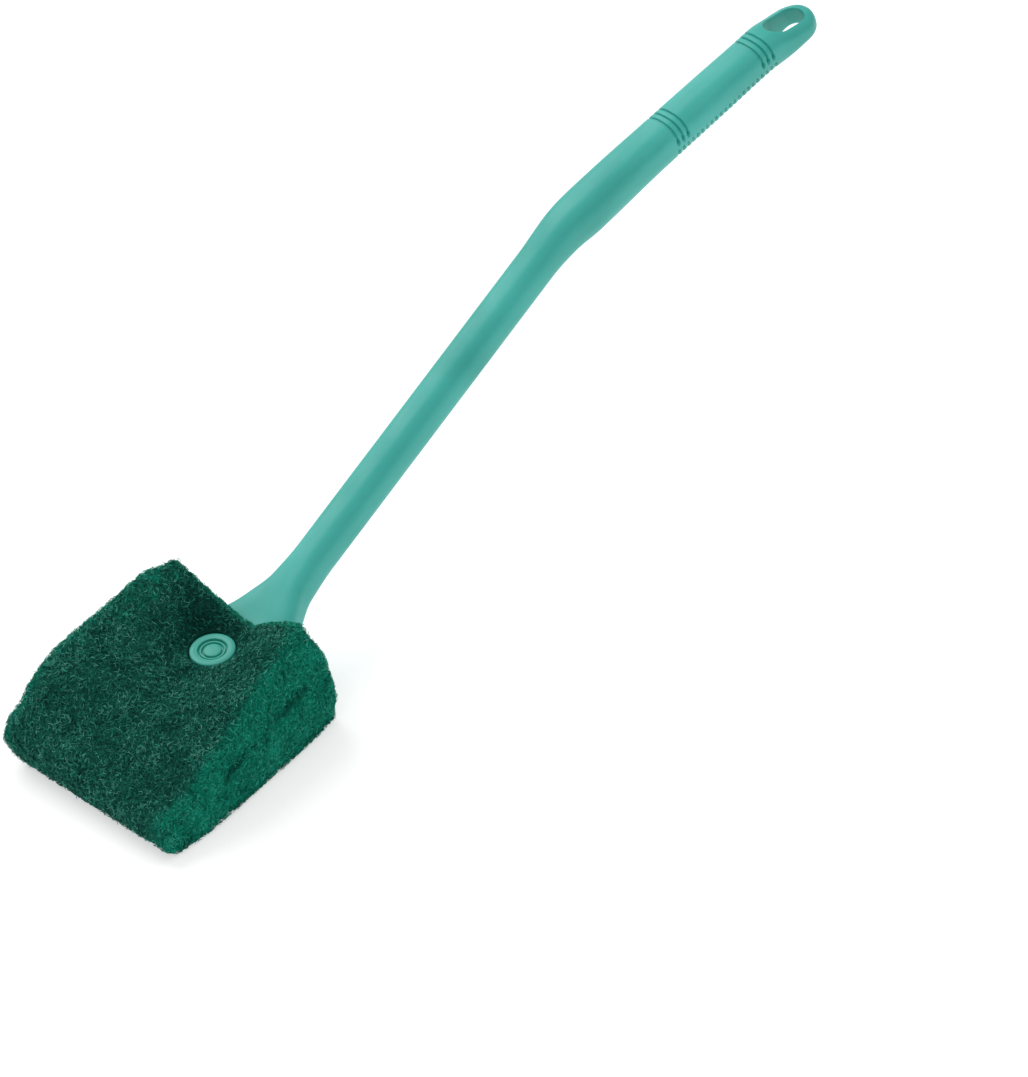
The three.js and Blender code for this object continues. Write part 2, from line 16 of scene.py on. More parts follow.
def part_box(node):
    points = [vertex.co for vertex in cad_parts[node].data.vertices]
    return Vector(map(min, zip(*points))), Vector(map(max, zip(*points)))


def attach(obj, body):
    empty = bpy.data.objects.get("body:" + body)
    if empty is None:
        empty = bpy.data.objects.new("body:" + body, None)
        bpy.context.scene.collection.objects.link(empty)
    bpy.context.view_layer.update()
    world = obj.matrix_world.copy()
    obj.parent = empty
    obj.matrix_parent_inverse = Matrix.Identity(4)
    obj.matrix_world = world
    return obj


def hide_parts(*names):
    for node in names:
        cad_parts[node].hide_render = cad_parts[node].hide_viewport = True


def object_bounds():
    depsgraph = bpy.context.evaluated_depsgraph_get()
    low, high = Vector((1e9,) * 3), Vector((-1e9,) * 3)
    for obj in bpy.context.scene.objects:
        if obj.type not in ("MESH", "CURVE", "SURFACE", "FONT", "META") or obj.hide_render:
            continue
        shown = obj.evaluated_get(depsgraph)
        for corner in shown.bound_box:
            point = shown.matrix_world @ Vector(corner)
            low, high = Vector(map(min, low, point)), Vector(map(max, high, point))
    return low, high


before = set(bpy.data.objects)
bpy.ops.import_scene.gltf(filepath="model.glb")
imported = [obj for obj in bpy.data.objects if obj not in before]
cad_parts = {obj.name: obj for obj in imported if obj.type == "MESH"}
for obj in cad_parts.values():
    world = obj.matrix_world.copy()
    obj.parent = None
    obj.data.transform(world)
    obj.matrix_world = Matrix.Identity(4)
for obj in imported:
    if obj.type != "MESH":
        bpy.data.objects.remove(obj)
cad_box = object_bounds()

MM = 0.001
SEED = 20
rng = np.random.default_rng(SEED)

# ---- driving dimensions, in millimetres
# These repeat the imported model's own, so that the fine surfaces lie on its solids. Only the ring grooves
# and the finger notches go a little deeper, and the loop's end is rounded over.
BUTTON_Y = 30.0
PADDLE_Z = 18.5
PADDLE_FRONT = 38.0
PADDLE_HALF_WIDTH = 27.0
PADDLE_HALF_THICK = 1.5
PADDLE_CORNER_R = 9.0
NECK_CORNER = 15.2
SHAFT_RISE = 22.6
GRIP_RISE = 5.6
SHAFT_LENGTH = 181.0
GRIP_LENGTH = 120.3
NECK_BEND_R = 60.0
KINK_BEND_R = 34.0
SHAFT_HALF = 6.5
GRIP_HALF = 7.5
LOOP_HALF_WIDTH = 7.8
LOOP_HALF_THICK = 3.7
LOOP_DROOP = 2.3
LOOP_EDGE_R = 2.5
SLOT_START = 101.2
SLOT_LENGTH = 15.8
SLOT_WIDTH = 9.1

RING_SETS = (48.5, 91.0)
RINGS_PER_SET = 3
RING_PITCH = 2.45
RING_WIDTH = 0.9
RING_DEPTH = 0.75
RING_END_ANGLE = 6.0
NOTCH_START = 48.0
NOTCH_COUNT = 22
NOTCH_PITCH = 2.3
NOTCH_WIDTH = 1.15
NOTCH_DEPTH = 1.25
NOTCH_SIDE_ANGLE = 11.0

FLANGE_R = 8.0
FLANGE_THICK = 2.0
FLANGE_REACH = 10.0
STEM_R = 3.0
SOCKET_BORE_R = 3.35
SOCKET_TUBE_R = 4.6
SOCKET_TUBE_TOP = 4.6
PADDLE_HOLE_R = 5.0
PAD_HOLE_R = 5.2
CLEARANCE = 0.35
FLANGE_PROUD = 0.5

PAD_NOSE = 64.2
PAD_NOSE_LENGTH = 8.0
PAD_REAR = 18.5
FRONT_SKEW = -0.022
REAR_SKEW = 0.06
PAD_SLIT_FRONT = 46.0
PAD_EDGE_R = 1.6
VALLEY_X = 2.5
PULL_LEFT = 36.0
PULL_RIGHT = 27.0
LEFT_LATENESS = 1.35
RIGHT_HASTE = 1.6
PULL_BELOW = 26.0
DIMPLE_SLOPE = 0.85
DIMPLE_SOFTNESS = 1.2


# ---- curves
def smooth_through(keys):
    """A smooth curve through (position, value) keys that never overshoots between them."""
    at, value = (np.array(column, float) for column in zip(*keys))
    rise = np.diff(value) / np.diff(at)
    product, total = rise[:-1] * rise[1:], rise[:-1] + rise[1:]
    slope = np.zeros(len(at))
    slope[1:-1] = np.where(product > 0, 2 * product / np.where(product > 0, total, 1), 0)

    def curve(x):
        x = np.clip(np.asarray(x, float), at[0], at[-1])
        i = np.clip(np.searchsorted(at, x, side="right") - 1, 0, len(at) - 2)
        span = at[i + 1] - at[i]
        t = (x - at[i]) / span
        eased = t * t * (3 - 2 * t)
        bend = t * (1 - t) * ((1 - t) * slope[i] - t * slope[i + 1]) * span
        return value[i] + (value[i + 1] - value[i]) * eased + bend

    return curve


def smoothstep(start, end, x):
    """0 before start, 1 after end, and an eased rise between them; start may be the larger."""
    t = np.clip((np.asarray(x, float) - start) / (end - start), 0, 1)
    return t * t * (3 - 2 * t)


def unit(vectors):
    """The vectors scaled to a length of 1."""
    return vectors / np.maximum(np.linalg.norm(vectors, axis=-1, keepdims=True), 1e-6)


# ---- handle spine and sections
neck_tangent = NECK_BEND_R * math.tan(math.radians(SHAFT_RISE / 2))
kink_tangent = KINK_BEND_R * math.tan(math.radians((SHAFT_RISE - GRIP_RISE) / 2))
SPINE = (
    (PADDLE_FRONT + NECK_CORNER - neck_tangent, 0.0),
    (NECK_BEND_R * math.radians(SHAFT_RISE), SHAFT_RISE),
    (SHAFT_LENGTH - neck_tangent - kink_tangent, 0.0),
    (KINK_BEND_R * math.radians(SHAFT_RISE - GRIP_RISE), GRIP_RISE - SHAFT_RISE),
    (GRIP_LENGTH - kink_tangent, 0.0),
)
BEND_START = SPINE[0][0]
SHAFT_START = BEND_START + SPINE[1][0]
KINK = SHAFT_START + SPINE[2][0] + SPINE[3][0] / 2
TIP = sum(length for length, _ in SPINE)
PADDLE_END = BEND_START - 12
NECK_END = BEND_START + 50
SHAFT_END = KINK - 20
GROOVES_START = KINK + 46
LOOP_START = KINK + 99


def spine_at(distance):
    """Y, Z and slope of the spine at distances from the paddle's front edge."""
    left = np.array(distance, float)
    y = np.full(left.shape, BUTTON_Y - PADDLE_FRONT)
    z = np.full(left.shape, PADDLE_Z)
    slope = np.zeros(left.shape)
    for i, (length, turn) in enumerate(SPINE):
        step = left if i == len(SPINE) - 1 else np.minimum(left, length)
        if i > 0:
            step = np.maximum(step, 0)
        bend = math.radians(turn) * step / length
        chord = step * np.sinc(bend / 2 / np.pi)
        y += chord * np.cos(slope + bend / 2)
        z += chord * np.sin(slope + bend / 2)
        slope += bend
        left = left - step
    return y, z, slope


# The sections against the distance along the spine: half widths, half thickness, squareness, and how far
# their middles lie above the spine.
neck_width = smooth_through([
    (PADDLE_END, PADDLE_HALF_WIDTH), (BEND_START + 3, 23.5), (BEND_START + 12, 19.5),
    (BEND_START + 21, 14.1), (BEND_START + 27, 11.2), (BEND_START + 37, 7.4), (NECK_END, SHAFT_HALF),
])
grip_width = smooth_through([
    (KINK - 18, SHAFT_HALF), (KINK - 2, 7.15), (KINK + 10, GRIP_HALF + 0.25), (KINK + 44, GRIP_HALF),
    (KINK + 70, GRIP_HALF - 0.1), (KINK + 88, GRIP_HALF - 0.25), (LOOP_START, GRIP_HALF - 0.15),
    (KINK + 108, LOOP_HALF_WIDTH),
])
thickness = smooth_through([
    (PADDLE_END, PADDLE_HALF_THICK), (BEND_START + 3, 2.4), (BEND_START + 14, 4.4),
    (BEND_START + 27, 5.6), (BEND_START + 45, SHAFT_HALF), (KINK - 18, SHAFT_HALF),
    (KINK + 6, GRIP_HALF + 0.6), (KINK + 18, GRIP_HALF + 0.5), (KINK + 40, GRIP_HALF),
    (KINK + 70, GRIP_HALF - 0.2), (KINK + 88, GRIP_HALF - 0.45), (LOOP_START, 6.8),
    (KINK + 108, 5.1), (TIP, LOOP_HALF_THICK),
])
squareness = smooth_through([
    (PADDLE_END, 9), (BEND_START + 12, 6), (BEND_START + 30, 4), (NECK_END, 2.8),
    (KINK + 90, 2.7), (KINK + 108, 3.2), (TIP, 2.7),
])
middle_shift = smooth_through([
    (KINK - 14, 0), (KINK + 5, -0.9), (KINK + 16, -0.6), (KINK + 40, 0), (KINK + 95, 0),
    (KINK + 108, -1.45), (TIP, -LOOP_DROOP),
])


def half_width_at(distance):
    """Half the handle's width, with the paddle's front corners and the loop's end rounded in plan."""
    distance = np.asarray(distance, float)
    width = np.where(distance < (SHAFT_START + KINK) / 2, neck_width(distance), grip_width(distance))
    across = np.clip(PADDLE_CORNER_R - distance, 0, PADDLE_CORNER_R)
    corner = PADDLE_HALF_WIDTH - PADDLE_CORNER_R + np.sqrt(PADDLE_CORNER_R**2 - across**2)
    short = np.clip(LOOP_HALF_WIDTH - (TIP - distance), 0, LOOP_HALF_WIDTH)
    tip = np.sqrt(LOOP_HALF_WIDTH**2 - short**2)
    width = np.where(distance < PADDLE_CORNER_R, corner, width)
    return np.where(TIP - distance < LOOP_HALF_WIDTH, tip, width)


def half_thickness_at(distance):
    """Half the handle's thickness, with the loop's end rounded over."""
    short = np.clip(LOOP_EDGE_R - (TIP - distance), 0, LOOP_EDGE_R)
    return thickness(distance) - LOOP_EDGE_R + np.sqrt(LOOP_EDGE_R**2 - short**2)


def superellipse(a, b, p, angle):
    """Points of a section a and b in half size, from an ellipse at p = 2 to squarer ones above."""
    cos, sin = np.cos(angle), np.sin(angle)
    x = a * np.sign(cos) * np.abs(cos) ** (2 / p)
    up = b * np.sign(sin) * np.abs(sin) ** (2 / p)
    return x, up


def from_section(distance, x, up):
    """Points of the sections at distances along the spine: x across, up along the section's normal."""
    y, z, slope = spine_at(distance)
    lift = up + middle_shift(distance)
    return np.stack([x, y - lift * np.sin(slope), z + lift * np.cos(slope)], axis=-1)


# ---- mesh helpers
def place(name, data):
    """A new object in the scene."""
    made = bpy.data.objects.new(name, data)
    bpy.context.scene.collection.objects.link(made)
    return made


def new_object(name, vertices, faces):
    """A Blender object from millimetre points and index faces."""
    mesh = bpy.data.meshes.new(name)
    mesh.from_pydata((np.asarray(vertices) * MM).tolist(), [], [tuple(map(int, f)) for f in faces])
    mesh.validate()
    mesh.update()
    return place(name, mesh)


def skin_faces(rings, around):
    """Quads between rings of points that all run the same way round, and a fan at both ends."""
    r, i = np.meshgrid(np.arange(rings - 1), np.arange(around), indexing="ij")
    a, b = r * around + i, r * around + (i + 1) % around
    quads = np.stack([a, b, b + around, a + around], axis=-1).reshape(-1, 4).tolist()
    first, last = rings * around, rings * around + 1
    for i in range(around):
        j = (i + 1) % around
        quads.append([first, j, i])
        quads.append([last, (rings - 1) * around + i, (rings - 1) * around + j])
    return quads


def skin(name, rings):
    """A closed body through an array of rings, [ring, point, xyz], with its faces turned outwards."""
    points = rings.reshape(-1, 3)
    hubs = np.stack([rings[0].mean(axis=0), rings[-1].mean(axis=0)])
    made = new_object(name, np.concatenate([points, hubs]), skin_faces(len(rings), rings.shape[1]))
    face_out(made)
    return made


def face_out(made):
    """Turns the faces of a closed body outwards."""
    work = bmesh.new()
    work.from_mesh(made.data)
    bmesh.ops.recalc_face_normals(work, faces=work.faces)
    if work.calc_volume(signed=True) < 0:
        bmesh.ops.reverse_faces(work, faces=work.faces)
    work.to_mesh(made.data)
    work.free()


def remove(made):
    """Deletes an object and its mesh."""
    mesh = made.data
    bpy.data.objects.remove(made)
    bpy.data.meshes.remove(mesh)


def bake_modifiers(made):
    """Applies the object's modifiers to its mesh and leaves none on it."""
    depsgraph = bpy.context.evaluated_depsgraph_get()
    depsgraph.update()
    finished = bpy.data.meshes.new_from_object(made.evaluated_get(depsgraph), depsgraph=depsgraph)
    old = made.data
    made.modifiers.clear()
    finished.materials.clear()
    made.data = finished
    bpy.data.meshes.remove(old)
    finished.name = made.name


def cut_away(made, cutters):
    """Cuts the closed cutters out of the object and deletes them."""
    for cutter in cutters:
        boolean = made.modifiers.new("cut", "BOOLEAN")
        boolean.operation = "DIFFERENCE"
        boolean.solver = "MANIFOLD"
        boolean.object = cutter
    bake_modifiers(made)
    for cutter in cutters:
        remove(cutter)


def shade(made, crease_degrees):
    """Smooth shading that breaks at edges sharper than the angle."""
    made.data.polygons.foreach_set("use_smooth", [True] * len(made.data.polygons))
    made.data.set_sharp_from_angle(angle=math.radians(crease_degrees))
    made.data.update()


# ---- handle
SECTION_POINTS = 96
OUTLINE_STEPS = 400
HANDLE_CREASE = 38  # degrees


def section_angles(a, b, p):
    """Angles that space points evenly along a section's outline, a quarter at a time."""
    per_quarter = SECTION_POINTS // 4
    fine = np.linspace(0, math.pi / 2, OUTLINE_STEPS)
    x, up = superellipse(a, b, p, fine)
    run = np.concatenate([[0], np.cumsum(np.hypot(np.diff(x), np.diff(up)))])
    spots = np.linspace(0, run[-1], per_quarter, endpoint=False)
    quarter = np.interp(spots, run, fine)
    mirrored = math.pi / 2 - np.interp(spots, run[-1] - run[::-1], (math.pi / 2 - fine)[::-1])
    return np.concatenate([quarter, math.pi - mirrored, math.pi + quarter, 2 * math.pi - mirrored])


RING_FADE = 2  # degrees either side of a ring groove's end
# The small pit that ends each ring groove.
PIT_DEPTH = 1.4
PIT_FLOOR_R = 0.4
PIT_R = 0.85
PIT_MM_PER_DEGREE = 0.11


def trench(offset, width):
    """Depth share of a groove with steep, softly rounded walls, across its width."""
    return 1 - smoothstep(width * 0.3, width * 0.62, np.abs(offset))


def groove_depth(distance, angle):
    """How deep the ring grooves, their end pits and the finger notches go at points of the grip."""
    beyond = distance - KINK
    above = np.degrees(np.arcsin(np.clip(np.sin(angle), -1, 1)))
    ring_share = smoothstep(RING_END_ANGLE - RING_FADE, RING_END_ANGLE + RING_FADE, above)
    notch_share = smoothstep(NOTCH_SIDE_ANGLE - 3, NOTCH_SIDE_ANGLE + 5, -above)
    from_ring_end = (above - RING_END_ANGLE) * PIT_MM_PER_DEGREE
    depth = np.zeros(np.broadcast(distance, angle).shape)
    for first in RING_SETS:
        for i in range(RINGS_PER_SET):
            along = beyond - (first + i * RING_PITCH)
            ring = trench(along, RING_WIDTH) * ring_share * RING_DEPTH
            pit = 1 - smoothstep(PIT_FLOOR_R, PIT_R, np.hypot(along, from_ring_end))
            depth = np.maximum(depth, np.maximum(ring, pit * PIT_DEPTH))
    for i in range(NOTCH_COUNT):
        along = beyond - (NOTCH_START + i * NOTCH_PITCH)
        depth = np.maximum(depth, trench(along, NOTCH_WIDTH) * notch_share * NOTCH_DEPTH)
    return depth


FRONT_GAP, TIP_GAP = 0.02, 0.03  # no section shrinks to a point


def handle_stations():
    """Distances of the sections: close together at the rounded ends, the bends and the grooves."""
    ease = np.sin(np.linspace(0, math.pi / 2, 16))
    front = PADDLE_CORNER_R * (1 - ease[::-1])
    loop = TIP - LOOP_HALF_WIDTH + LOOP_HALF_WIDTH * ease
    stretches = (
        (PADDLE_CORNER_R, PADDLE_END, 8),
        (PADDLE_END, NECK_END, 62),
        (NECK_END, SHAFT_END, 60),
        (SHAFT_END, GROOVES_START, 66),
        (GROOVES_START, LOOP_START, 340),
        (LOOP_START, TIP - LOOP_HALF_WIDTH, 14),
    )
    between = [np.linspace(start, end, count)[1:] for start, end, count in stretches]
    return np.concatenate([np.maximum(front, FRONT_GAP), *between, np.minimum(loop, TIP - TIP_GAP)[1:]])


SLOT_LIP = 0.5
SLOT_ARC_POINTS = 33
CUTTER_POINTS = 64


def slot_cutter():
    """The hanging slot with a rounded lip where it meets the loop's upper and lower faces."""
    radius = SLOT_WIDTH / 2
    start, end = KINK + SLOT_START + radius, KINK + SLOT_START + SLOT_LENGTH - radius
    arc = np.linspace(-math.pi / 2, math.pi / 2, SLOT_ARC_POINTS)
    centres = np.repeat([end, start], SLOT_ARC_POINTS)
    angles = np.concatenate([arc, arc + math.pi])
    lip = [(SLOT_LIP * (1 - math.cos(turn)), -SLOT_LIP * (1 - math.sin(turn)))
           for turn in np.linspace(0, math.pi / 2, 8)]
    profile = [(0.0, -2.6), *lip, (SLOT_LIP + 2.0, 3.0)]
    rings = []
    for side, points in ((-1, profile[::-1]), (1, profile)):
        for grow, rise in points:
            along = centres + (radius + grow) * np.cos(angles)
            across = (radius + grow) * np.sin(angles)
            up = side * (thickness(np.clip(along, 0, TIP)) + rise)
            rings.append(from_section(along, across, up))
    return skin("slot_cutter", np.array(rings))


def circle(radius, z, points):
    """A ring of points about the button's axis."""
    turn = np.linspace(0, 2 * math.pi, points, endpoint=False)
    return np.stack([radius * np.cos(turn), BUTTON_Y + radius * np.sin(turn), np.full(points, z)], axis=-1)


def cylinder_cutter(name, radius, low, high):
    """A plain cylinder on the button's axis, from one height to another."""
    return skin(name, np.array([circle(radius, z, CUTTER_POINTS) for z in (low, high)]))


def make_handle():
    """The one-piece moulding: paddle, neck, shaft, grooved grip and hanging loop."""
    rings = []
    for distance in handle_stations():
        a, b = float(half_width_at(distance)), float(half_thickness_at(distance))
        p = float(squareness(distance))
        angle = section_angles(a, b, p)
        depth = groove_depth(distance, angle)
        x, up = superellipse(a - depth, b - depth, p, angle)
        rings.append(from_section(np.full(angle.shape, distance), x, up))
    made = skin("handle_moulding", np.array(rings))
    past = 8
    hole = cylinder_cutter("hole_cutter", PADDLE_HOLE_R, PADDLE_Z - past, PADDLE_Z + past)
    cut_away(made, [slot_cutter(), hole])
    shade(made, HANDLE_CREASE)
    return made


# ---- snap button
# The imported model's face has only one ring groove, and a shallower one.
LATHE_POINTS = 120
BUTTON_CREASE = 32  # degrees
RECESS_R = 5.2
RECESS_DEPTH = 0.6
DISC_R = 3.1
GROOVE_WIDTH = 0.85
GROOVE_DEPTH = 1.5
RIM_GROOVE_WIDTH = 0.75
RIM_GROOVE_DEPTH = 1.3
DISC_CROWN = 0.3
RING_CROWN = 0.12
STEM_END = FLANGE_REACH - FLANGE_THICK - 0.8
BORE_FLOOR = FLANGE_REACH - FLANGE_THICK - 0.3


def fillet(corner, radius, start_degrees, end_degrees, steps=7):
    """Points of a quarter round about a centre, as (radius, height)."""
    turn = np.radians(np.linspace(start_degrees, end_degrees, steps))
    return [(corner[0] + radius * math.cos(t), corner[1] + radius * math.sin(t)) for t in turn]


def ring_groove(outer, inner, floor, soft):
    """Floor of a groove between two radii, with its corners cut off."""
    return [(outer, floor + soft), (outer - soft, floor), (inner + soft, floor), (inner, floor + soft)]


def flange_face():
    """Outer face from the flange's edge to its centre: crowned ring, two ring grooves and centre disc."""
    top, rim, soft, tight = FLANGE_THICK, 0.65, 0.22, 0.1
    floor, groove, ledge = top - RECESS_DEPTH, top - GROOVE_DEPTH, DISC_R + GROOVE_WIDTH
    rim_groove, rim_ledge = top - RIM_GROOVE_DEPTH, RECESS_R - RIM_GROOVE_WIDTH
    shoulder = top - RING_CROWN
    crown_middle = (FLANGE_R + RECESS_R) / 2
    crown_half = FLANGE_R - rim - crown_middle
    crown = [(crown_middle + crown_half * share, top - RING_CROWN * share * share)
             for share in (0.66, 0.33, 0, -0.33, -0.66)]
    disc = [((DISC_R - tight) * math.cos(turn), floor + DISC_CROWN * math.sin(turn))
            for turn in np.linspace(0.15, math.pi / 2 - 0.05, 8)]
    return [
        *fillet((FLANGE_R - rim, shoulder - rim), rim, 0, 90),
        *crown,
        *fillet((RECESS_R + soft, shoulder - soft), soft, 90, 180),
        *ring_groove(RECESS_R, rim_ledge, rim_groove, tight),
        *fillet((rim_ledge - tight, floor - tight), tight, 0, 90, 4),
        *fillet((ledge + tight, floor - tight), tight, 90, 180, 4),
        *ring_groove(ledge, DISC_R, groove, tight),
        *fillet((DISC_R - tight, floor - tight), tight, 0, 90, 4),
        *disc,
        (0, floor + DISC_CROWN),
    ]


def flange(inner_side, way):
    """Profile of a flange from its inner edge to the middle of its face, upwards for way 1, else down."""
    edge = [(FLANGE_R - 0.15, 0), (FLANGE_R, 0.15)]
    return [(r, inner_side + way * z) for r, z in edge + flange_face()]


def lathe(name, profile):
    """A closed turned body on the button's axis, from (radius, height) points that start and end on it."""
    rings = [circle(r, z, LATHE_POINTS) for r, z in profile[1:-1]]
    hubs = [[0, BUTTON_Y, z] for _, z in (profile[0], profile[-1])]
    points = np.concatenate([np.array(rings).reshape(-1, 3), hubs])
    made = new_object(name, points, skin_faces(len(rings), LATHE_POINTS))
    face_out(made)
    shade(made, BUTTON_CREASE)
    return made


def make_button_cap():
    """The upper flange with its stem, which has a snap bead at its tip."""
    inner_side = PADDLE_Z + FLANGE_REACH - FLANGE_THICK
    tip = PADDLE_Z - STEM_END
    return lathe("button_cap_moulding", [
        (0, tip),
        (STEM_R - 0.9, tip),
        *fillet((STEM_R - 0.9, tip + 0.6), 0.6, -90, 0, 4),
        (STEM_R, tip + 1.6),
        (STEM_R, tip + 2.4),
        (STEM_R - 0.3, tip + 3.2),
        (STEM_R - 0.3, inner_side - 0.4),
        (STEM_R + 0.1, inner_side),
        *flange(inner_side, 1),
    ])


def make_button_socket():
    """The lower flange with the tube that takes the stem."""
    inner_side = PADDLE_Z - FLANGE_REACH + FLANGE_THICK
    tube_top = PADDLE_Z + SOCKET_TUBE_TOP
    return lathe("button_socket_moulding", [
        (0, PADDLE_Z - BORE_FLOOR),
        (SOCKET_BORE_R - 0.3, PADDLE_Z - BORE_FLOOR),
        (SOCKET_BORE_R, PADDLE_Z - BORE_FLOOR + 0.3),
        (SOCKET_BORE_R, tube_top - 0.4),
        (SOCKET_BORE_R + 0.3, tube_top),
        (SOCKET_TUBE_R - 0.4, tube_top),
        (SOCKET_TUBE_R, tube_top - 0.4),
        (SOCKET_TUBE_R, inner_side + 0.3),
        (SOCKET_TUBE_R + 0.3, inner_side),
        *flange(inner_side, -1),
    ])


# ---- scouring pad
FLANGE_SEAT = FLANGE_REACH - FLANGE_THICK - CLEARANCE
SQUEEZED = FLANGE_REACH - FLANGE_PROUD
FOLD_BACK = PAD_NOSE_LENGTH - PAD_NOSE
# Heights of the pad's surfaces, against Y measured from the button axis.
top_at_left = smooth_through([
    (FOLD_BACK, 22), (-50, 26.5), (-38, 33.5), (-21, 37.5), (-6, 40.3), (5, 42.5), (PAD_REAR, 42.3),
])
top_at_right = smooth_through([
    (FOLD_BACK, 15), (-46, 21), (-32, 28.5), (-15, 34.5), (3, 38.8), (PAD_REAR, 40.5),
])
top_at_middle = smooth_through([
    (FOLD_BACK, 17.5), (-45, 23.5), (-32, 27.5), (-21, 28.3), (-9, PADDLE_Z + SQUEEZED),
    (9, PADDLE_Z + SQUEEZED - 0.2), (PAD_REAR, PADDLE_Z + SQUEEZED - 1),
])
bottom_at_middle = smooth_through([
    (-19, 0), (-9, PADDLE_Z - SQUEEZED), (9, PADDLE_Z - SQUEEZED), (PAD_REAR, PADDLE_Z - SQUEEZED + 0.5),
])
# How far the slit between the plies lies above the paddle's middle at the cut sides.
slit_at_sides = smooth_through([(-PAD_SLIT_FRONT, -5), (-37, -2.5), (-15, 2.5), (0, 5), (PAD_REAR, 6.5)])
# Half widths of the pad along its edges and halfway up its sides.
left_top = smooth_through([(-60, 40.5), (-50, 41), (-36, 40), (-20, 38), (4, 35.3), (PAD_REAR, 32.5)])
right_top = smooth_through([(-60, 35.5), (-46, 37), (-32, 37.5), (-15, 35), (3, 31.5), (PAD_REAR, 27)])
left_middle = smooth_through([(-62, 41), (-40, 41.5), (-16, 39.5), (PAD_REAR, 36)])
right_shoulder = smooth_through([(-62, 38.5), (-46, 39.5), (-16, 38), (PAD_REAR, 35.4)])
right_middle = smooth_through([(-62, 38.5), (-46, 39.5), (-16, 38.5), (PAD_REAR, 37)])
left_bottom = smooth_through([(-62, 38.5), (-46, 40), (-16, 38.5), (5, 36.5), (PAD_REAR, 34)])
right_bottom = smooth_through([(-62, 39), (-46, 40), (-16, 38.2), (5, 36.5), (PAD_REAR, 34.5)])


def flap_share(x):
    """Share of the side's height reached at x: the left flap rises late, the right flap at once."""
    left = np.clip((VALLEY_X - x) / PULL_LEFT, 0, 1) ** LEFT_LATENESS
    right = 1 - (1 - np.clip((x - VALLEY_X) / PULL_RIGHT, 0, 1)) ** RIGHT_HASTE
    return np.where(x < VALLEY_X, left, right)


def soft_min(a, b, softness):
    """The lower of two heights, rounded off where they meet."""
    near = np.clip(0.5 + (a - b) / (2 * softness), 0, 1)
    return a + (b - a) * near - softness * near * (1 - near)


def pad_heights(x, y):
    """Heights of the pad's upper and lower surfaces, closed into a round fold at the front."""
    from_nose = np.clip(y + PAD_NOSE, 0, PAD_NOSE_LENGTH)
    closing = 1 - np.sqrt(1 - (1 - from_nose / PAD_NOSE_LENGTH) ** 2)
    side = np.where(x < VALLEY_X, top_at_left(y), top_at_right(y))
    flap = top_at_middle(y) + (side - top_at_middle(y)) * flap_share(x)
    from_flange = np.maximum(0, np.hypot(x, y) - FLANGE_R - CLEARANCE)
    dimple = PADDLE_Z + SQUEEZED + DIMPLE_SOFTNESS / 4 + DIMPLE_SLOPE * from_flange
    top = soft_min(flap, dimple, DIMPLE_SOFTNESS)
    bottom = bottom_at_middle(y) * (1 - smoothstep(1, PULL_BELOW, np.abs(x)))
    close = closing * (top - bottom) / 2
    return top - close, bottom + close


def askew(x, y):
    """How far the hand-folded strip's front and rear ends are shifted along Y at x."""
    return x * (FRONT_SKEW * (1 - smoothstep(-58, -14, y)) + REAR_SKEW * smoothstep(-14, 14, y))


def pad_ring(y, inset):
    """One section across the pad: over the top, down the right side, back underneath, up the left side."""
    t = np.linspace(-1, 1, 121)
    spread = 0.4 * np.sin(t * math.pi / 2) + 0.6 * t
    x_top = spread * (np.where(t < 0, left_top(y), right_top(y)) - inset)
    x_bottom = spread * (np.where(t < 0, left_bottom(y), right_bottom(y)) - inset)
    top, bottom = pad_heights(x_top, y)[0], pad_heights(x_bottom, y)[1]
    soft = np.minimum(inset + PAD_EDGE_R * smoothstep(0.94, 1, np.abs(t)), (top - bottom) / 3)
    top, bottom = top - soft, bottom + soft
    share = np.linspace(0, 1, 17)[1:-1]
    bulge = smoothstep(0, 0.3, share) * smoothstep(0, 0.3, 1 - share)

    def side(x_from, z_from, x_to, z_to, middle):
        x = x_from + (x_to - x_from) * share
        return x + (middle - x) * bulge, z_from + (z_to - z_from) * share

    shoulder = right_shoulder(y) + (right_middle(y) - right_shoulder(y)) * smoothstep(0.3, 0.7, share)
    right = side(x_top[-1], top[-1], x_bottom[-1], bottom[-1], shoulder - inset)
    left = side(x_bottom[0], bottom[0], x_top[0], top[0], inset - left_middle(y))
    x = np.concatenate([x_top, right[0], x_bottom[::-1], left[0]])
    z = np.concatenate([top, right[1], bottom[::-1], left[1]])
    return np.stack([x, BUTTON_Y + y + askew(x, y), z], axis=-1)


SLIT_HALF = 0.35
SLIT_MOUTH = 0.3  # how much the slit opens at the cut sides
SLIT_TIP_SHARE = 0.25  # of its width, left at its front end
SLIT_TAPER = 22


def slit_cutter():
    """The gap between the plies, opening into a wavering mouth at the cut sides."""
    x = np.linspace(-50, 50, 101)
    across = np.abs(x)
    mouth = SLIT_HALF + SLIT_MOUTH * smoothstep(30, 41, across)
    rings = []
    for y in np.linspace(-PAD_SLIT_FRONT, PAD_REAR + 10, 40):
        opened = smoothstep(-PAD_SLIT_FRONT, -PAD_SLIT_FRONT + SLIT_TAPER, y)
        tapered = mouth * (SLIT_TIP_SHARE + (1 - SLIT_TIP_SHARE) * opened)
        z = PADDLE_Z + slit_at_sides(y) * smoothstep(PADDLE_HALF_WIDTH + 1, 37, across)
        wander = 0.8 * math.sin(y * 0.19 + 0.9) + 0.5 * math.sin(y * 0.47)
        waver = wander * smoothstep(30, 38, across) * np.where(x < 0, -0.8, 1)
        at = np.full(x.shape, BUTTON_Y + y)
        upper, lower = (np.stack([x, at, z + waver + half], axis=-1) for half in (tapered, -tapered))
        rings.append(np.concatenate([upper, lower[::-1]]))
    return skin("slit_cutter", np.array(rings))


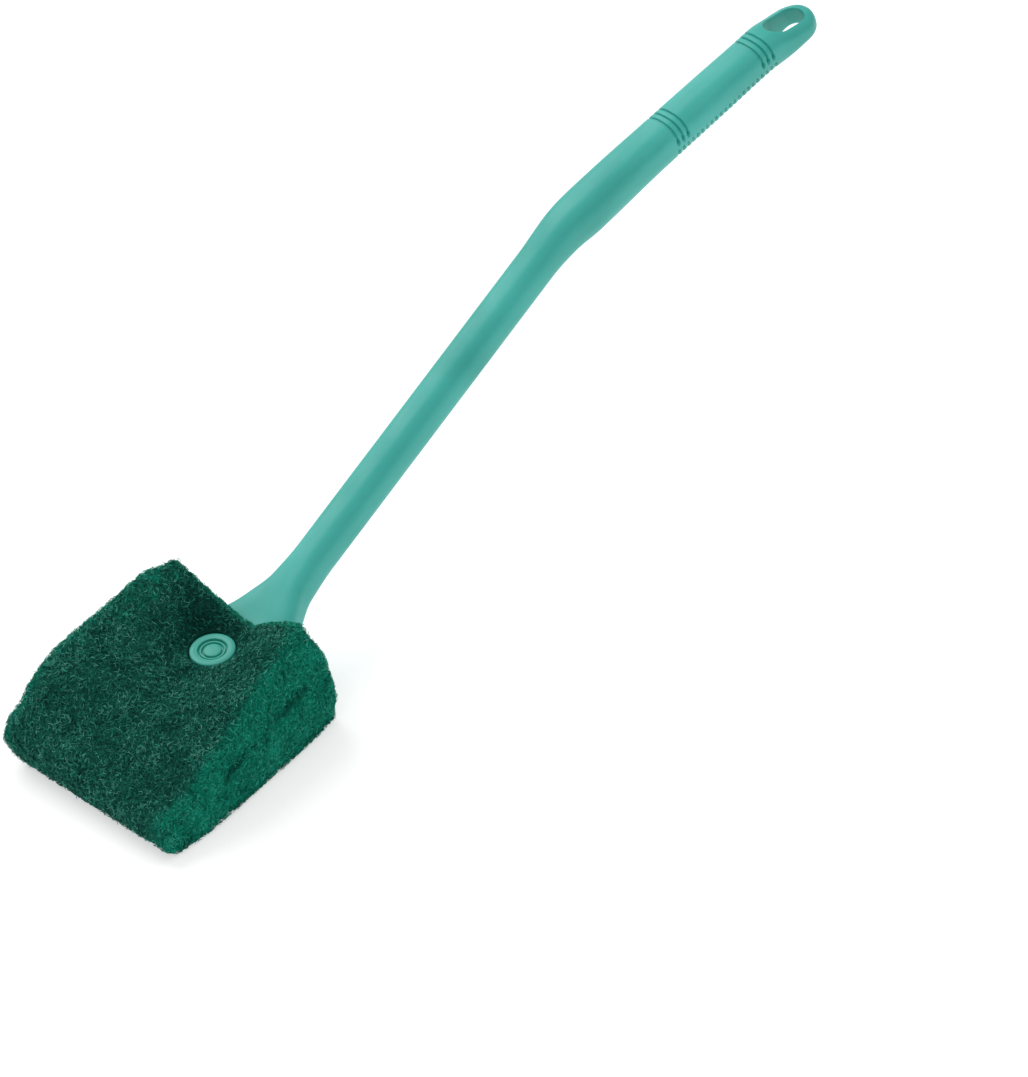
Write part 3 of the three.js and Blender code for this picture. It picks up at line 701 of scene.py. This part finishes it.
def pocket_cutter():
    """The room that the paddle and neck take, with clearance all round."""
    corner = PADDLE_CORNER_R * (1 - np.sin(np.linspace(0, math.pi / 2, 9))[::-1])
    stations = np.concatenate([[-CLEARANCE], corner[1:], np.linspace(PADDLE_END, BEND_START + 40, 40)])
    angle = (np.arange(CUTTER_POINTS) + 0.5) * 2 * math.pi / CUTTER_POINTS
    rings = []
    for distance in stations:
        a = half_width_at(max(distance, 0.3)) + CLEARANCE
        b = thickness(distance) + CLEARANCE
        x, up = superellipse(a, b, squareness(distance) + 1, angle)
        rings.append(from_section(np.full(CUTTER_POINTS, distance), x, up))
    return skin("pocket_cutter", np.array(rings))


WAVE_PEAK = 1.6  # standard deviations that the sum rarely passes


def waves(points, count, shortest, longest, seed):
    """Seeded smooth noise, about -1 to 1, from plane waves of mixed lengths in millimetres."""
    own = np.random.default_rng(seed)
    direction = unit(own.normal(size=(count, 3)))
    length = np.exp(own.uniform(math.log(shortest), math.log(longest), count))
    phase = own.uniform(0, 2 * math.pi, count)
    total = np.zeros(len(points))
    for heading, wave_length, start in zip(direction, length, phase):
        total += np.sin(points @ heading * (2 * math.pi / wave_length) + start)
    return total / math.sqrt(count / 2) / WAVE_PEAK


def rows_of(items, key, width=3):
    """One property of many mesh items, a row for each item."""
    values = np.empty(len(items) * width)
    items.foreach_get(key, values)
    return values.reshape(-1, width)


def vertex_points(made):
    """The mesh's points in millimetres."""
    return rows_of(made.data.vertices, "co") / MM


def set_points(made, points):
    """Moves the mesh's points to new places in millimetres."""
    made.data.vertices.foreach_set("co", (points * MM).ravel())
    made.data.update()


PAD_VOXEL = 0.6
NO_CREASE = 180
ABOVE_PAD, BELOW_PAD = 60, -5


def make_pad_body():
    """The two-ply folded strip as one dense closed mesh, before its fibres."""
    nose = np.radians(np.linspace(4, 88, 16))
    rings = [pad_ring(-PAD_NOSE + PAD_NOSE_LENGTH * (1 - math.cos(angle)), 0) for angle in nose]
    rings += [pad_ring(y, 0) for y in np.linspace(FOLD_BACK, PAD_REAR - PAD_EDGE_R, 70)]
    rings += [pad_ring(PAD_REAR - PAD_EDGE_R / 3, PAD_EDGE_R / 3), pad_ring(PAD_REAR, PAD_EDGE_R)]
    made = skin("pad_body", np.array(rings))
    above, below = PADDLE_Z + FLANGE_SEAT, PADDLE_Z - FLANGE_SEAT
    cut_away(made, [
        slit_cutter(),
        pocket_cutter(),
        cylinder_cutter("pad_hole_cutter", PAD_HOLE_R, BELOW_PAD, ABOVE_PAD),
        cylinder_cutter("cap_seat_cutter", FLANGE_R + CLEARANCE, above, ABOVE_PAD),
        cylinder_cutter("socket_seat_cutter", FLANGE_R + CLEARANCE, BELOW_PAD, below),
    ])
    remesh = made.modifiers.new("even", "REMESH")
    remesh.mode = "VOXEL"
    remesh.voxel_size = PAD_VOXEL * MM
    bake_modifiers(made)
    shade(made, NO_CREASE)
    return made


LOWEST_FIBRE = -0.1
LUMP_HEIGHT = 0.3
TUFT_HEIGHT = 0.45
TUFT_SINK = 0.3
BODY_SINK = 0.15  # so that the fibres stand proud of the body


def roughen(made, share_at):
    """Gives the body the lumps and tufts of non-woven mat, and stores the shares that colour it."""
    points, normals = vertex_points(made), rows_of(made.data.vertex_normals, "vector")
    lumps = LUMP_HEIGHT * waves(points, 30, 8, 18, SEED + 1)
    tufts = TUFT_HEIGHT * np.abs(waves(points, 70, 1.5, 3.2, SEED + 2)) - TUFT_SINK
    moved = points + normals * ((lumps + tufts - BODY_SINK) * share_at(points))[:, None]
    moved[:, 2] = np.maximum(moved[:, 2], LOWEST_FIBRE)
    set_points(made, moved)
    # The first share is painted shade that darkens the mat's colour; the second marks its cut faces.
    for name, share in (("painted_shade", painted_shade(moved)), ("cut_share", cut_share(points, normals))):
        attribute = made.data.attributes.new(name, "FLOAT", "POINT")
        attribute.data.foreach_set("value", share.astype(np.float32))


# ---- fibres
# How many strands lie on each part of the pad, and how many pieces they are shared between.
STRANDS = {"upper": (21000, 4), "lower": (5600, 1), "right": (6100, 1), "left": (4400, 1)}
STRAND_POINTS = 6
STRAND_STEP = 0.38
STRAND_SIDES = 3
STRAND_RADIUS = (0.085, 0.13)
STRAND_TIP_SHARE = 0.35
STRAND_RISE = (-0.35, 0.08, 0.45)  # lowest, usual and highest above the body
STRAND_WEAVE = (0.06, 0.3)
START_JITTER = 0.25
LOOSE_SHARE, LOOSE_RISE, LOOSE_WEAVE = 0.02, 0.25, 0.3
FLANGE_GAP = 0.45  # between the strands and the button's flanges
FLANGE_ROOM = 1.5  # how far inside its seat a flange still pushes strands aside
HANDLE_GAP = 0.3
HANDLE_SEARCH = 2.0
NEAR_HANDLE = 5
SEED_GAP, SEED_LIFT = 0.6, 0.2
OPEN_ROOM = 4.5  # free room in front of a strand's start


def button_distance(points):
    """How far points are from the button's axis."""
    return np.hypot(points[..., 0], points[..., 1] - BUTTON_Y)


def seed_faces(body, tree):
    """Places on the pad's outside to start strands from: points, normals and areas of the open faces."""
    faces = body.data.polygons
    centre, normal = rows_of(faces, "center") / MM, rows_of(faces, "normal")
    area = rows_of(faces, "area", 1).ravel()
    open_faces = button_distance(centre) > FLANGE_R + SEED_GAP
    for i in range(len(faces)):
        start = Vector(centre[i] + normal[i] * SEED_LIFT)
        if tree.ray_cast(start, Vector(normal[i]), OPEN_ROOM)[0] is not None:
            open_faces[i] = False
    return centre[open_faces], normal[open_faces], area[open_faces]


def strand_paths(tree, starts, normals, rise, reach):
    """Curly strands that wander over the pad's surface, weaving up and down by up to reach millimetres."""
    count = len(starts)
    at, normal = starts.copy(), normals.copy()
    heading = rng.normal(size=(count, 3))
    curl = rng.choice([-1, 1], count) * rng.uniform(0.05, 0.6, count)
    wave = rng.uniform(0.5, 1.1, count)
    phase = rng.uniform(0, 2 * math.pi, count)
    bob = rng.uniform(0.5, 1.3, count)
    bob_phase = rng.uniform(0, 2 * math.pi, count)
    path = np.empty((count, STRAND_POINTS, 3))
    for k in range(STRAND_POINTS):
        lift = rise + reach * np.sin(bob * k + bob_phase)
        path[:, k] = at + normal * lift[:, None]
        heading = unit(heading - normal * np.sum(heading * normal, axis=1)[:, None])
        turn = (curl + 0.4 * np.sin(wave * k + phase))[:, None]
        heading = heading * np.cos(turn) + np.cross(normal, heading) * np.sin(turn)
        ahead = at + heading * STRAND_STEP
        for i in range(count):
            at[i], normal[i] = tree.find_nearest(Vector(ahead[i]))[:2]
    return path


def clear_of_button(path):
    """Strand points pushed out of the two flanges' room."""
    away = path[..., :2] - [0, BUTTON_Y]
    reach = np.linalg.norm(away, axis=-1, keepdims=True)
    least = FLANGE_R + FLANGE_GAP
    beside = np.abs(path[..., 2:] - PADDLE_Z) > FLANGE_SEAT - FLANGE_ROOM
    pushed = away * np.where((reach < least) & beside, least / np.maximum(reach, 0.1), 1)
    height = path[..., 2:] - PADDLE_Z
    most = FLANGE_REACH - FLANGE_GAP + 1.1 * np.maximum(reach - least, 0)
    height = np.clip(height, -most, most)
    return np.concatenate([pushed + [0, BUTTON_Y], PADDLE_Z + height], axis=-1)


def tube_faces(points):
    """Vertex numbers and face sizes of one closed tube: its quads, then a triangle at each end."""
    k, i = np.meshgrid(np.arange(points - 1), np.arange(STRAND_SIDES), indexing="ij")
    j, row, after = (i + 1) % STRAND_SIDES, k * STRAND_SIDES, (k + 1) * STRAND_SIDES
    quads = np.stack([row + i, row + j, after + j, after + i], axis=-1)
    end = points * STRAND_SIDES
    corners = np.concatenate([quads.ravel(), [2, 1, 0, end - 3, end - 2, end - 1]])
    return corners, np.array([4] * (quads.size // 4) + [3, 3])


def tubes(name, path, radius, tone):
    """Closed thin tubes along the paths, each in one of the material slots, with thinner ends."""
    count, points, _ = path.shape
    along = unit(np.gradient(path, axis=1))
    aside = unit(np.cross(along, rng.normal(size=(count, 1, 3))))
    other = np.cross(along, aside)
    from_end = np.minimum(np.arange(points), np.arange(points)[::-1])
    taper = np.minimum(1, STRAND_TIP_SHARE + from_end * (1 - STRAND_TIP_SHARE))
    width = radius[:, None, None] * taper[None, :, None]
    sides = []
    for i in range(STRAND_SIDES):
        turn = 2 * math.pi * i / STRAND_SIDES
        sides.append(path + width * (aside * math.cos(turn) + other * math.sin(turn)))
    vertices = np.stack(sides, axis=2).reshape(-1, 3)
    corners, sizes = tube_faces(points)
    loops = corners + np.arange(count)[:, None] * points * STRAND_SIDES
    mesh = bpy.data.meshes.new(name)
    mesh.vertices.add(len(vertices))
    mesh.vertices.foreach_set("co", (vertices * MM).ravel())
    mesh.loops.add(loops.size)
    mesh.loops.foreach_set("vertex_index", loops.ravel().astype(np.int32))
    totals = np.tile(sizes, count)
    mesh.polygons.add(len(totals))
    mesh.polygons.foreach_set("loop_start", (np.cumsum(totals) - totals).astype(np.int32))
    mesh.polygons.foreach_set("material_index", np.repeat(tone, len(sizes)).astype(np.int32))
    mesh.polygons.foreach_set("use_smooth", np.ones(len(totals), bool))
    mesh.update(calc_edges=True)
    mesh.validate()
    return place(name, mesh)


def off_handle(path, handle_tree):
    """True for each strand that stays clear of the handle."""
    clear = np.ones(len(path), bool)
    beside = (np.abs(path[..., 0]) < PADDLE_HALF_WIDTH + NEAR_HANDLE).any(axis=1)
    behind = (path[..., 1] > BUTTON_Y - PADDLE_FRONT - NEAR_HANDLE).any(axis=1)
    for i in np.flatnonzero(beside & behind):
        for point in path[i]:
            place, normal, _, gap = handle_tree.find_nearest(Vector(point), HANDLE_SEARCH)
            if place is not None and (gap < HANDLE_GAP or (Vector(point) - place).dot(normal) < 0):
                clear[i] = False
                break
    return clear


# The turn and place that make a face a cut side, and the turn that makes it lower.
SIDE_TURN, SIDE_START, DOWN_TURN = 0.62, 24, -0.15


def side_of(normal, centre):
    """Which part of the pad a face belongs to: upper or lower face, right or left cut side."""
    sideways = (np.abs(normal[:, 0]) > SIDE_TURN) & (np.abs(centre[:, 0]) > SIDE_START)
    side = np.where(normal[:, 0] > 0, "right", "left")
    face = np.where(normal[:, 2] > DOWN_TURN, "upper", "lower")
    return np.where(sideways, side, face)


def cut_share(points, normal):
    """How far the mat is a cut face, 0 to 1: by its turn to a side or the rear, with a ragged edge."""
    x, y = points[:, 0], points[:, 1] - BUTTON_Y
    past_edge = np.abs(x) - np.where(x < 0, left_top(y), right_top(y))
    sideways = np.abs(normal[:, 0]) * smoothstep(20, 26, np.abs(x))
    rearwards = normal[:, 1] * smoothstep(PAD_REAR - 6, PAD_REAR - 3, y)
    ragged = 0.12 * waves(points, 30, 3, 12, SEED + 5)
    turned = smoothstep(0.3, 0.8, np.maximum(sideways, rearwards) + ragged)
    by_side = 0.55 * smoothstep(-7, 0, past_edge)
    by_rear = 0.8 * smoothstep(PAD_REAR - 3.5, PAD_REAR - 1, y)
    return np.maximum.reduce([turned, by_side, by_rear])


def painted_shade(points):
    """Painted shade on the mat, 0 to 1: the raised left flap's shadow behind the button, and shade along
    the seam and at the side's foot.
    """
    x, y, z = points[:, 0], points[:, 1] - BUTTON_Y, points[:, 2]
    # Painted shadow of the raised left flap, behind the button.
    behind_button = np.exp(-((x + 7) / 13) ** 2 - ((y - 6) / 12) ** 2)
    behind_button *= smoothstep(PADDLE_Z, PADDLE_Z + 6, z)
    behind_button *= 1 - smoothstep(PAD_REAR - 4.5, PAD_REAR - 2, y)
    at_side = smoothstep(30, 34, np.abs(x))
    # Painted shade in the seam between the plies at the cut sides.
    from_seam = z - PADDLE_Z - slit_at_sides(y)
    seam = np.exp(-(from_seam / 2.4) ** 2) * at_side * smoothstep(-48, -36, y)
    broken = smoothstep(-0.5, 0.6, waves(points, 16, 12, 30, SEED + 4))
    # Painted shade at the foot of the cut sides.
    underneath = smoothstep(4.5, 1, z) * at_side
    return np.maximum.reduce([0.75 * behind_button, 0.8 * seam * broken, 0.5 * underneath])


def fray_and_highlight(points):
    """Where strands turn paler, 0 to 1: fray with a painted highlight along the raised left edge, which
    faces the key light, and fray at the cut rear end.
    """
    # Fray and painted highlight along the raised left edge.
    left = smoothstep(-29, -38, points[:, 0]) * smoothstep(12, 22, points[:, 2])
    return np.maximum(left, smoothstep(PAD_REAR - 3, PAD_REAR, points[:, 1] - BUTTON_Y))


TONE_MIDDLE, TONE_SPREAD = 0.46, 0.24


def tone_index(path, rise, normal):
    """Which material slot each strand takes: face tones first, then the cut sides' tones."""
    middle = path[:, STRAND_POINTS // 2]
    # The patches and the spread vary the tone at random; strands that sink lower into the mat take darker
    # tones as painted shade.
    patch = waves(middle, 24, 9, 26, SEED + 3)
    level = TONE_MIDDLE + 0.3 * rise + 0.08 * patch + rng.normal(scale=TONE_SPREAD, size=len(path))
    # Paler for fray and the painted highlight on the lit left edge, darker in the painted shade.
    level += 0.15 * fray_and_highlight(middle) - 0.45 * painted_shade(middle)
    tone = np.clip(np.floor(level * len(FIBRE_TONES)), 0, len(FIBRE_TONES) - 1)
    return tone + np.where(rng.random(len(path)) < cut_share(middle, normal), len(FIBRE_TONES), 0)


def make_fibres(body, handle_tree):
    """The strands on every part of the pad, as a list of pieces."""
    tree = tree_of(body)
    centre, normal, area = seed_faces(body, tree)
    part = side_of(normal, centre)
    made = []
    for name, (count, pieces) in STRANDS.items():
        mine = np.flatnonzero(part == name)
        chosen = rng.choice(mine, count, p=area[mine] / area[mine].sum())
        starts = centre[chosen] + rng.normal(scale=START_JITTER, size=(count, 3))
        rise = rng.triangular(*STRAND_RISE, count)
        reach = rng.uniform(*STRAND_WEAVE, count)
        loose = rng.random(count) < LOOSE_SHARE
        rise[loose] += LOOSE_RISE
        reach[loose] += LOOSE_WEAVE
        path = clear_of_button(strand_paths(tree, starts, normal[chosen], rise, reach))
        path[..., 2] = np.maximum(path[..., 2], LOWEST_FIBRE)
        keep = off_handle(path, handle_tree)
        path, tone = path[keep], tone_index(path[keep], rise[keep], normal[chosen][keep])
        radius = rng.uniform(*STRAND_RADIUS, len(path))
        for i in range(pieces):
            label = f"pad_fibres_{name}" + (f"_{i + 1}" if pieces > 1 else "")
            made.append(tubes(label, path[i::pieces], radius[i::pieces], tone[i::pieces]))
    return made


def tree_of(made):
    """A search tree over the object's faces, in millimetres."""
    faces = [tuple(p.vertices) for p in made.data.polygons]
    return BVHTree.FromPolygons([Vector(p) for p in vertex_points(made)], faces)


# ---- materials
def srgb(red, green, blue):
    """A linear colour from 0 to 255 screen values."""
    shares = (red / 255, green / 255, blue / 255)
    return (*(s / 12.92 if s <= 0.04045 else ((s + 0.055) / 1.055) ** 2.4 for s in shares), 1.0)


def set_inputs(node, values):
    """Gives a node's inputs their fixed values."""
    for name, value in values.items():
        node.inputs[name].default_value = value


class Nodes:
    """Short names for building a node material."""

    def __init__(self, name):
        self.material = bpy.data.materials.new(name)
        self.material.use_nodes = True
        self.tree = self.material.node_tree
        self.shader = self.tree.nodes["Principled BSDF"]

    def add(self, kind, **settings):
        """A new node with its own settings."""
        node = self.tree.nodes.new(kind)
        for key, value in settings.items():
            setattr(node, key, value)
        return node

    def link(self, source, target):
        """Joins an output socket to an input."""
        self.tree.links.new(source, target)

    def noise(self, scale, detail=3.0, stretch=(1, 1, 1), distortion=0.0):
        """Noise over the object's own coordinates, scale in waves per metre."""
        place = self.add("ShaderNodeTexCoord")
        mapping = self.add("ShaderNodeMapping")
        set_inputs(mapping, {"Scale": stretch})
        noise = self.add("ShaderNodeTexNoise")
        set_inputs(noise, {"Scale": scale, "Detail": detail, "Distortion": distortion})
        self.link(place.outputs["Object"], mapping.inputs["Vector"])
        self.link(mapping.outputs["Vector"], noise.inputs["Vector"])
        return noise.outputs["Fac"]

    def ramp(self, factor, places, colours):
        """The factor turned into colours, each reached at its own place."""
        ramp = self.add("ShaderNodeValToRGB")
        for _ in places[2:]:
            ramp.color_ramp.elements.new(0.5)
        for element, place, colour in zip(ramp.color_ramp.elements, places, colours):
            element.position = place
            element.color = colour
        self.link(factor, ramp.inputs["Fac"])
        return ramp.outputs["Color"]

    def blend(self, attribute, first, second=None, colour=(0, 0, 0, 1)):
        """The first colour, turned into the second or into a plain colour by the mesh's own attribute."""
        share = self.add("ShaderNodeAttribute", attribute_name=attribute)
        mix = self.add("ShaderNodeMix", data_type="RGBA")
        set_inputs(mix, {"B": colour})
        self.link(share.outputs["Fac"], mix.inputs["Factor"])
        self.link(first, mix.inputs["A"])
        if second is not None:
            self.link(second, mix.inputs["B"])
        return mix.outputs["Result"]

    def span(self, factor, low, high):
        """The factor's middle range spread from low to high."""
        spread = self.add("ShaderNodeMapRange")
        set_inputs(spread, {"From Min": 0.3, "From Max": 0.7, "To Min": low, "To Max": high})
        self.link(factor, spread.inputs["Value"])
        return spread.outputs["Result"]

    def bump(self, heights):
        """Stacked bumps from (height socket, strength, distance in metres)."""
        normal = None
        for height, strength, distance in heights:
            bump = self.add("ShaderNodeBump")
            set_inputs(bump, {"Strength": strength, "Distance": distance})
            self.link(height, bump.inputs["Height"])
            if normal is not None:
                self.link(normal, bump.inputs["Normal"])
            normal = bump.outputs["Normal"]
        self.link(normal, self.shader.inputs["Normal"])


CLOUD_STOPS = (0.3, 0.5, 0.72)
THREAD_STOPS = (0.36, 0.5, 0.64)


def plastic(name, base, paler, deeper):
    """Satin injection-moulded polypropylene: faint flow clouds, fine mould texture and uneven polish."""
    made = Nodes(name)
    cloud = made.noise(38, 4, (1, 0.45, 1), 0.6)
    colour = made.ramp(cloud, CLOUD_STOPS, (deeper, base, paler))
    made.link(colour, made.shader.inputs["Base Color"])
    polish = made.noise(160, 5, (1, 0.3, 1))
    made.link(made.span(polish, 0.36, 0.5), made.shader.inputs["Roughness"])
    grain = made.noise(5200, 2)
    sink = made.noise(70, 2, (1, 0.4, 1))
    made.bump([(sink, 0.16, 0.0006), (grain, 0.12, 0.00006)])
    set_inputs(made.shader, {
        "IOR": 1.49,
        "Subsurface Weight": 0.12,
        "Subsurface Radius": (0.0012, 0.003, 0.0026),
        "Subsurface Scale": 1.0,
    })
    return made.material


def matted_fibre(name):
    """The mat under its loose fibres: fine tangled threads, brighter green on the cut sides and rear,
    darkened by painted shade.
    """
    made = Nodes(name)
    threads = made.noise(1100, 5, distortion=2.2)
    face = made.ramp(threads, THREAD_STOPS, (srgb(6, 46, 39), srgb(15, 74, 62), srgb(36, 106, 90)))
    cut = made.ramp(threads, THREAD_STOPS, (srgb(4, 74, 58), srgb(12, 120, 97), srgb(32, 156, 130)))
    mat = made.blend("cut_share", face, cut)
    # Painted shade: the mat turns deep green where the shade share is high.
    shaded = made.blend("painted_shade", mat, colour=srgb(4, 34, 29))
    made.link(shaded, made.shader.inputs["Base Color"])
    made.link(made.span(made.noise(700, 3), 0.75, 0.95), made.shader.inputs["Roughness"])
    made.bump([(threads, 0.7, 0.0006)])
    set_inputs(made.shader, {"Specular IOR Level": 0.03})
    return made.material


def fibre(name, colour, roughness):
    """One dye lot of nylon fibre, with its resin unevenly spread."""
    made = Nodes(name)
    set_inputs(made.shader, {"Base Color": colour, "Specular IOR Level": 0.05})
    resin = made.span(made.noise(1400, 2), roughness - 0.1, roughness + 0.1)
    made.link(resin, made.shader.inputs["Roughness"])
    return made.material


# Name, colour and roughness of each fibre, from deep to pale; the pale tones stand in for the fibres'
# glints as painted highlights, and the deeper tones carry the painted shade.
FIBRE_TONES = (
    ("fibre_deep", srgb(8, 56, 48), 0.7),
    ("fibre_dark", srgb(16, 82, 70), 0.66),
    ("fibre_mid", srgb(26, 106, 90), 0.62),
    ("fibre_green", srgb(42, 130, 112), 0.58),
    ("fibre_light", srgb(64, 152, 133), 0.54),
    # Painted highlight: the palest strands stand in for glints.
    ("fibre_pale_glint", srgb(98, 178, 158), 0.5),
)
CUT_TONES = (
    ("cut_deep", srgb(6, 84, 67), 0.72),
    ("cut_dark", srgb(10, 110, 90), 0.7),
    ("cut_mid", srgb(18, 134, 111), 0.68),
    ("cut_green", srgb(28, 152, 127), 0.66),
    ("cut_light", srgb(42, 168, 142), 0.62),
    # Painted highlight: the palest cut strands stand in for glints.
    ("cut_pale_glint", srgb(70, 186, 160), 0.58),
)


# ---- the object
def finish_piece(made, body, materials, replaced=()):
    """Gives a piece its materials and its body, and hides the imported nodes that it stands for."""
    for material in materials:
        made.data.materials.append(material)
    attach(made, body)
    for node in replaced:
        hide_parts(node)


handle = make_handle()
button_cap = make_button_cap()
button_socket = make_button_socket()
pad = make_pad_body()
handle_tree = tree_of(handle)
fibres = make_fibres(pad, handle_tree)


def away_from_parts(points):
    """1 on the open surface, falling to 0 near the button's seats and the handle's pocket."""
    from_button = smoothstep(FLANGE_R + 0.4, FLANGE_R + 1.8, button_distance(points))
    near = np.array([handle_tree.find_nearest(Vector(p))[3] for p in points])
    return from_button * smoothstep(0.8, 2.0, near)


roughen(pad, away_from_parts)

handle_plastic = plastic("handle_plastic", srgb(51, 169, 158), srgb(61, 178, 168), srgb(41, 159, 148))
button_plastic = plastic("button_plastic", srgb(44, 158, 142), srgb(54, 167, 152), srgb(34, 148, 132))
tones = [fibre(*tone) for tone in FIBRE_TONES + CUT_TONES]

finish_piece(handle, "handle", [handle_plastic], ["handle"])
finish_piece(button_cap, "cap", [button_plastic], ["button_cap"])
finish_piece(button_socket, "socket", [button_plastic], ["button_socket"])
finish_piece(pad, "handle", [matted_fibre("matted_fibre")], ["scouring_pad"])
for piece in fibres:
    finish_piece(piece, "handle", tones)


# ---- stage, lights and camera
FLOOR_HALF = 6.0
FLOOR_GAP = 0.0003  # room for the lowest fibres


def make_floor():
    """A plain pale floor that glows a little, so that it stays white around the object's soft shadow."""
    floor_z = cad_box[0].z - FLOOR_GAP
    corners = [(-1, -1), (1, -1), (1, 1), (-1, 1)]
    mesh = bpy.data.meshes.new("floor")
    mesh.from_pydata([(x * FLOOR_HALF, y * FLOOR_HALF, floor_z) for x, y in corners], [], [(0, 1, 2, 3)])
    paper = Nodes("studio_paper")
    set_inputs(paper.shader, {
        "Base Color": (0.66, 0.66, 0.66, 1),
        "Roughness": 0.9,
        "Specular IOR Level": 0.1,
        "Emission Color": (1, 1, 1, 1),
        "Emission Strength": 0.5,
    })
    mesh.materials.append(paper.material)
    place("floor", mesh)


# Direction from the target, distance and size in metres, and power in watts of each soft box.
LIGHTS = {
    "key": ((-0.75, 0.1, 0.8), 1.6, 1.2, 13),
    "fill": ((0.5, -0.55, 0.75), 1.9, 1.6, 3),
    "back": ((0.35, 0.6, 0.8), 1.9, 1.4, 3.5),
}
WORLD_STRENGTH = 0.62


def area_light(name, direction, distance, size, power, target):
    """A square soft box that looks at the target from a direction."""
    data = bpy.data.lights.new(name, "AREA")
    data.shape = "SQUARE"
    data.size = size
    data.energy = power
    light = place(name, data)
    back = Vector(direction).normalized()
    light.location = target + back * distance
    light.rotation_mode = "QUATERNION"
    light.rotation_quaternion = (-back).to_track_quat("-Z", "Y")


def make_world(strength):
    """Even white light from all round."""
    world = bpy.data.worlds.new("studio")
    world.use_nodes = True
    set_inputs(world.node_tree.nodes["Background"], {"Color": (1, 1, 1, 1), "Strength": strength})
    bpy.context.scene.world = world


CAMERA_AZIMUTH, CAMERA_ELEVATION, CAMERA_ROLL = 51.98, 41.91, 10.5
AIM_X, AIM_PAST_BUTTON, AIM_Z = 0.0532, 0.094, 0.0383
VIEW_HEIGHT = 0.3633
LENS, SENSOR = 1200.0, 36.0
CLIP_START, CLIP_END = 1, 40


def make_camera():
    """A long lens above the pad's right front corner; gives back the point it is aimed at."""
    azimuth, elevation = math.radians(CAMERA_AZIMUTH), math.radians(CAMERA_ELEVATION)
    level_out = math.cos(elevation)
    back = Vector((math.sin(azimuth) * level_out, -math.cos(azimuth) * level_out, math.sin(elevation)))
    low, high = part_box("button_cap")
    aim = Vector((AIM_X, ((low + high) / 2).y + AIM_PAST_BUTTON, AIM_Z))
    data = bpy.data.cameras.new("camera")
    data.lens = LENS
    data.sensor_width = SENSOR
    camera = place("camera", data)
    distance = VIEW_HEIGHT * LENS / SENSOR
    level = (-back).to_track_quat("-Z", "Y").to_matrix()
    turned = level @ Matrix.Rotation(math.radians(-CAMERA_ROLL), 3, "Z")
    camera.matrix_world = Matrix.Translation(aim + back * distance) @ turned.to_4x4()
    data.clip_start, data.clip_end = CLIP_START, CLIP_END
    bpy.context.scene.camera = camera
    return aim


target = make_camera()
make_floor()
make_world(WORLD_STRENGTH)
for name, settings in LIGHTS.items():
    area_light(name, *settings, target)
bpy.context.scene.view_settings.view_transform = "Standard"
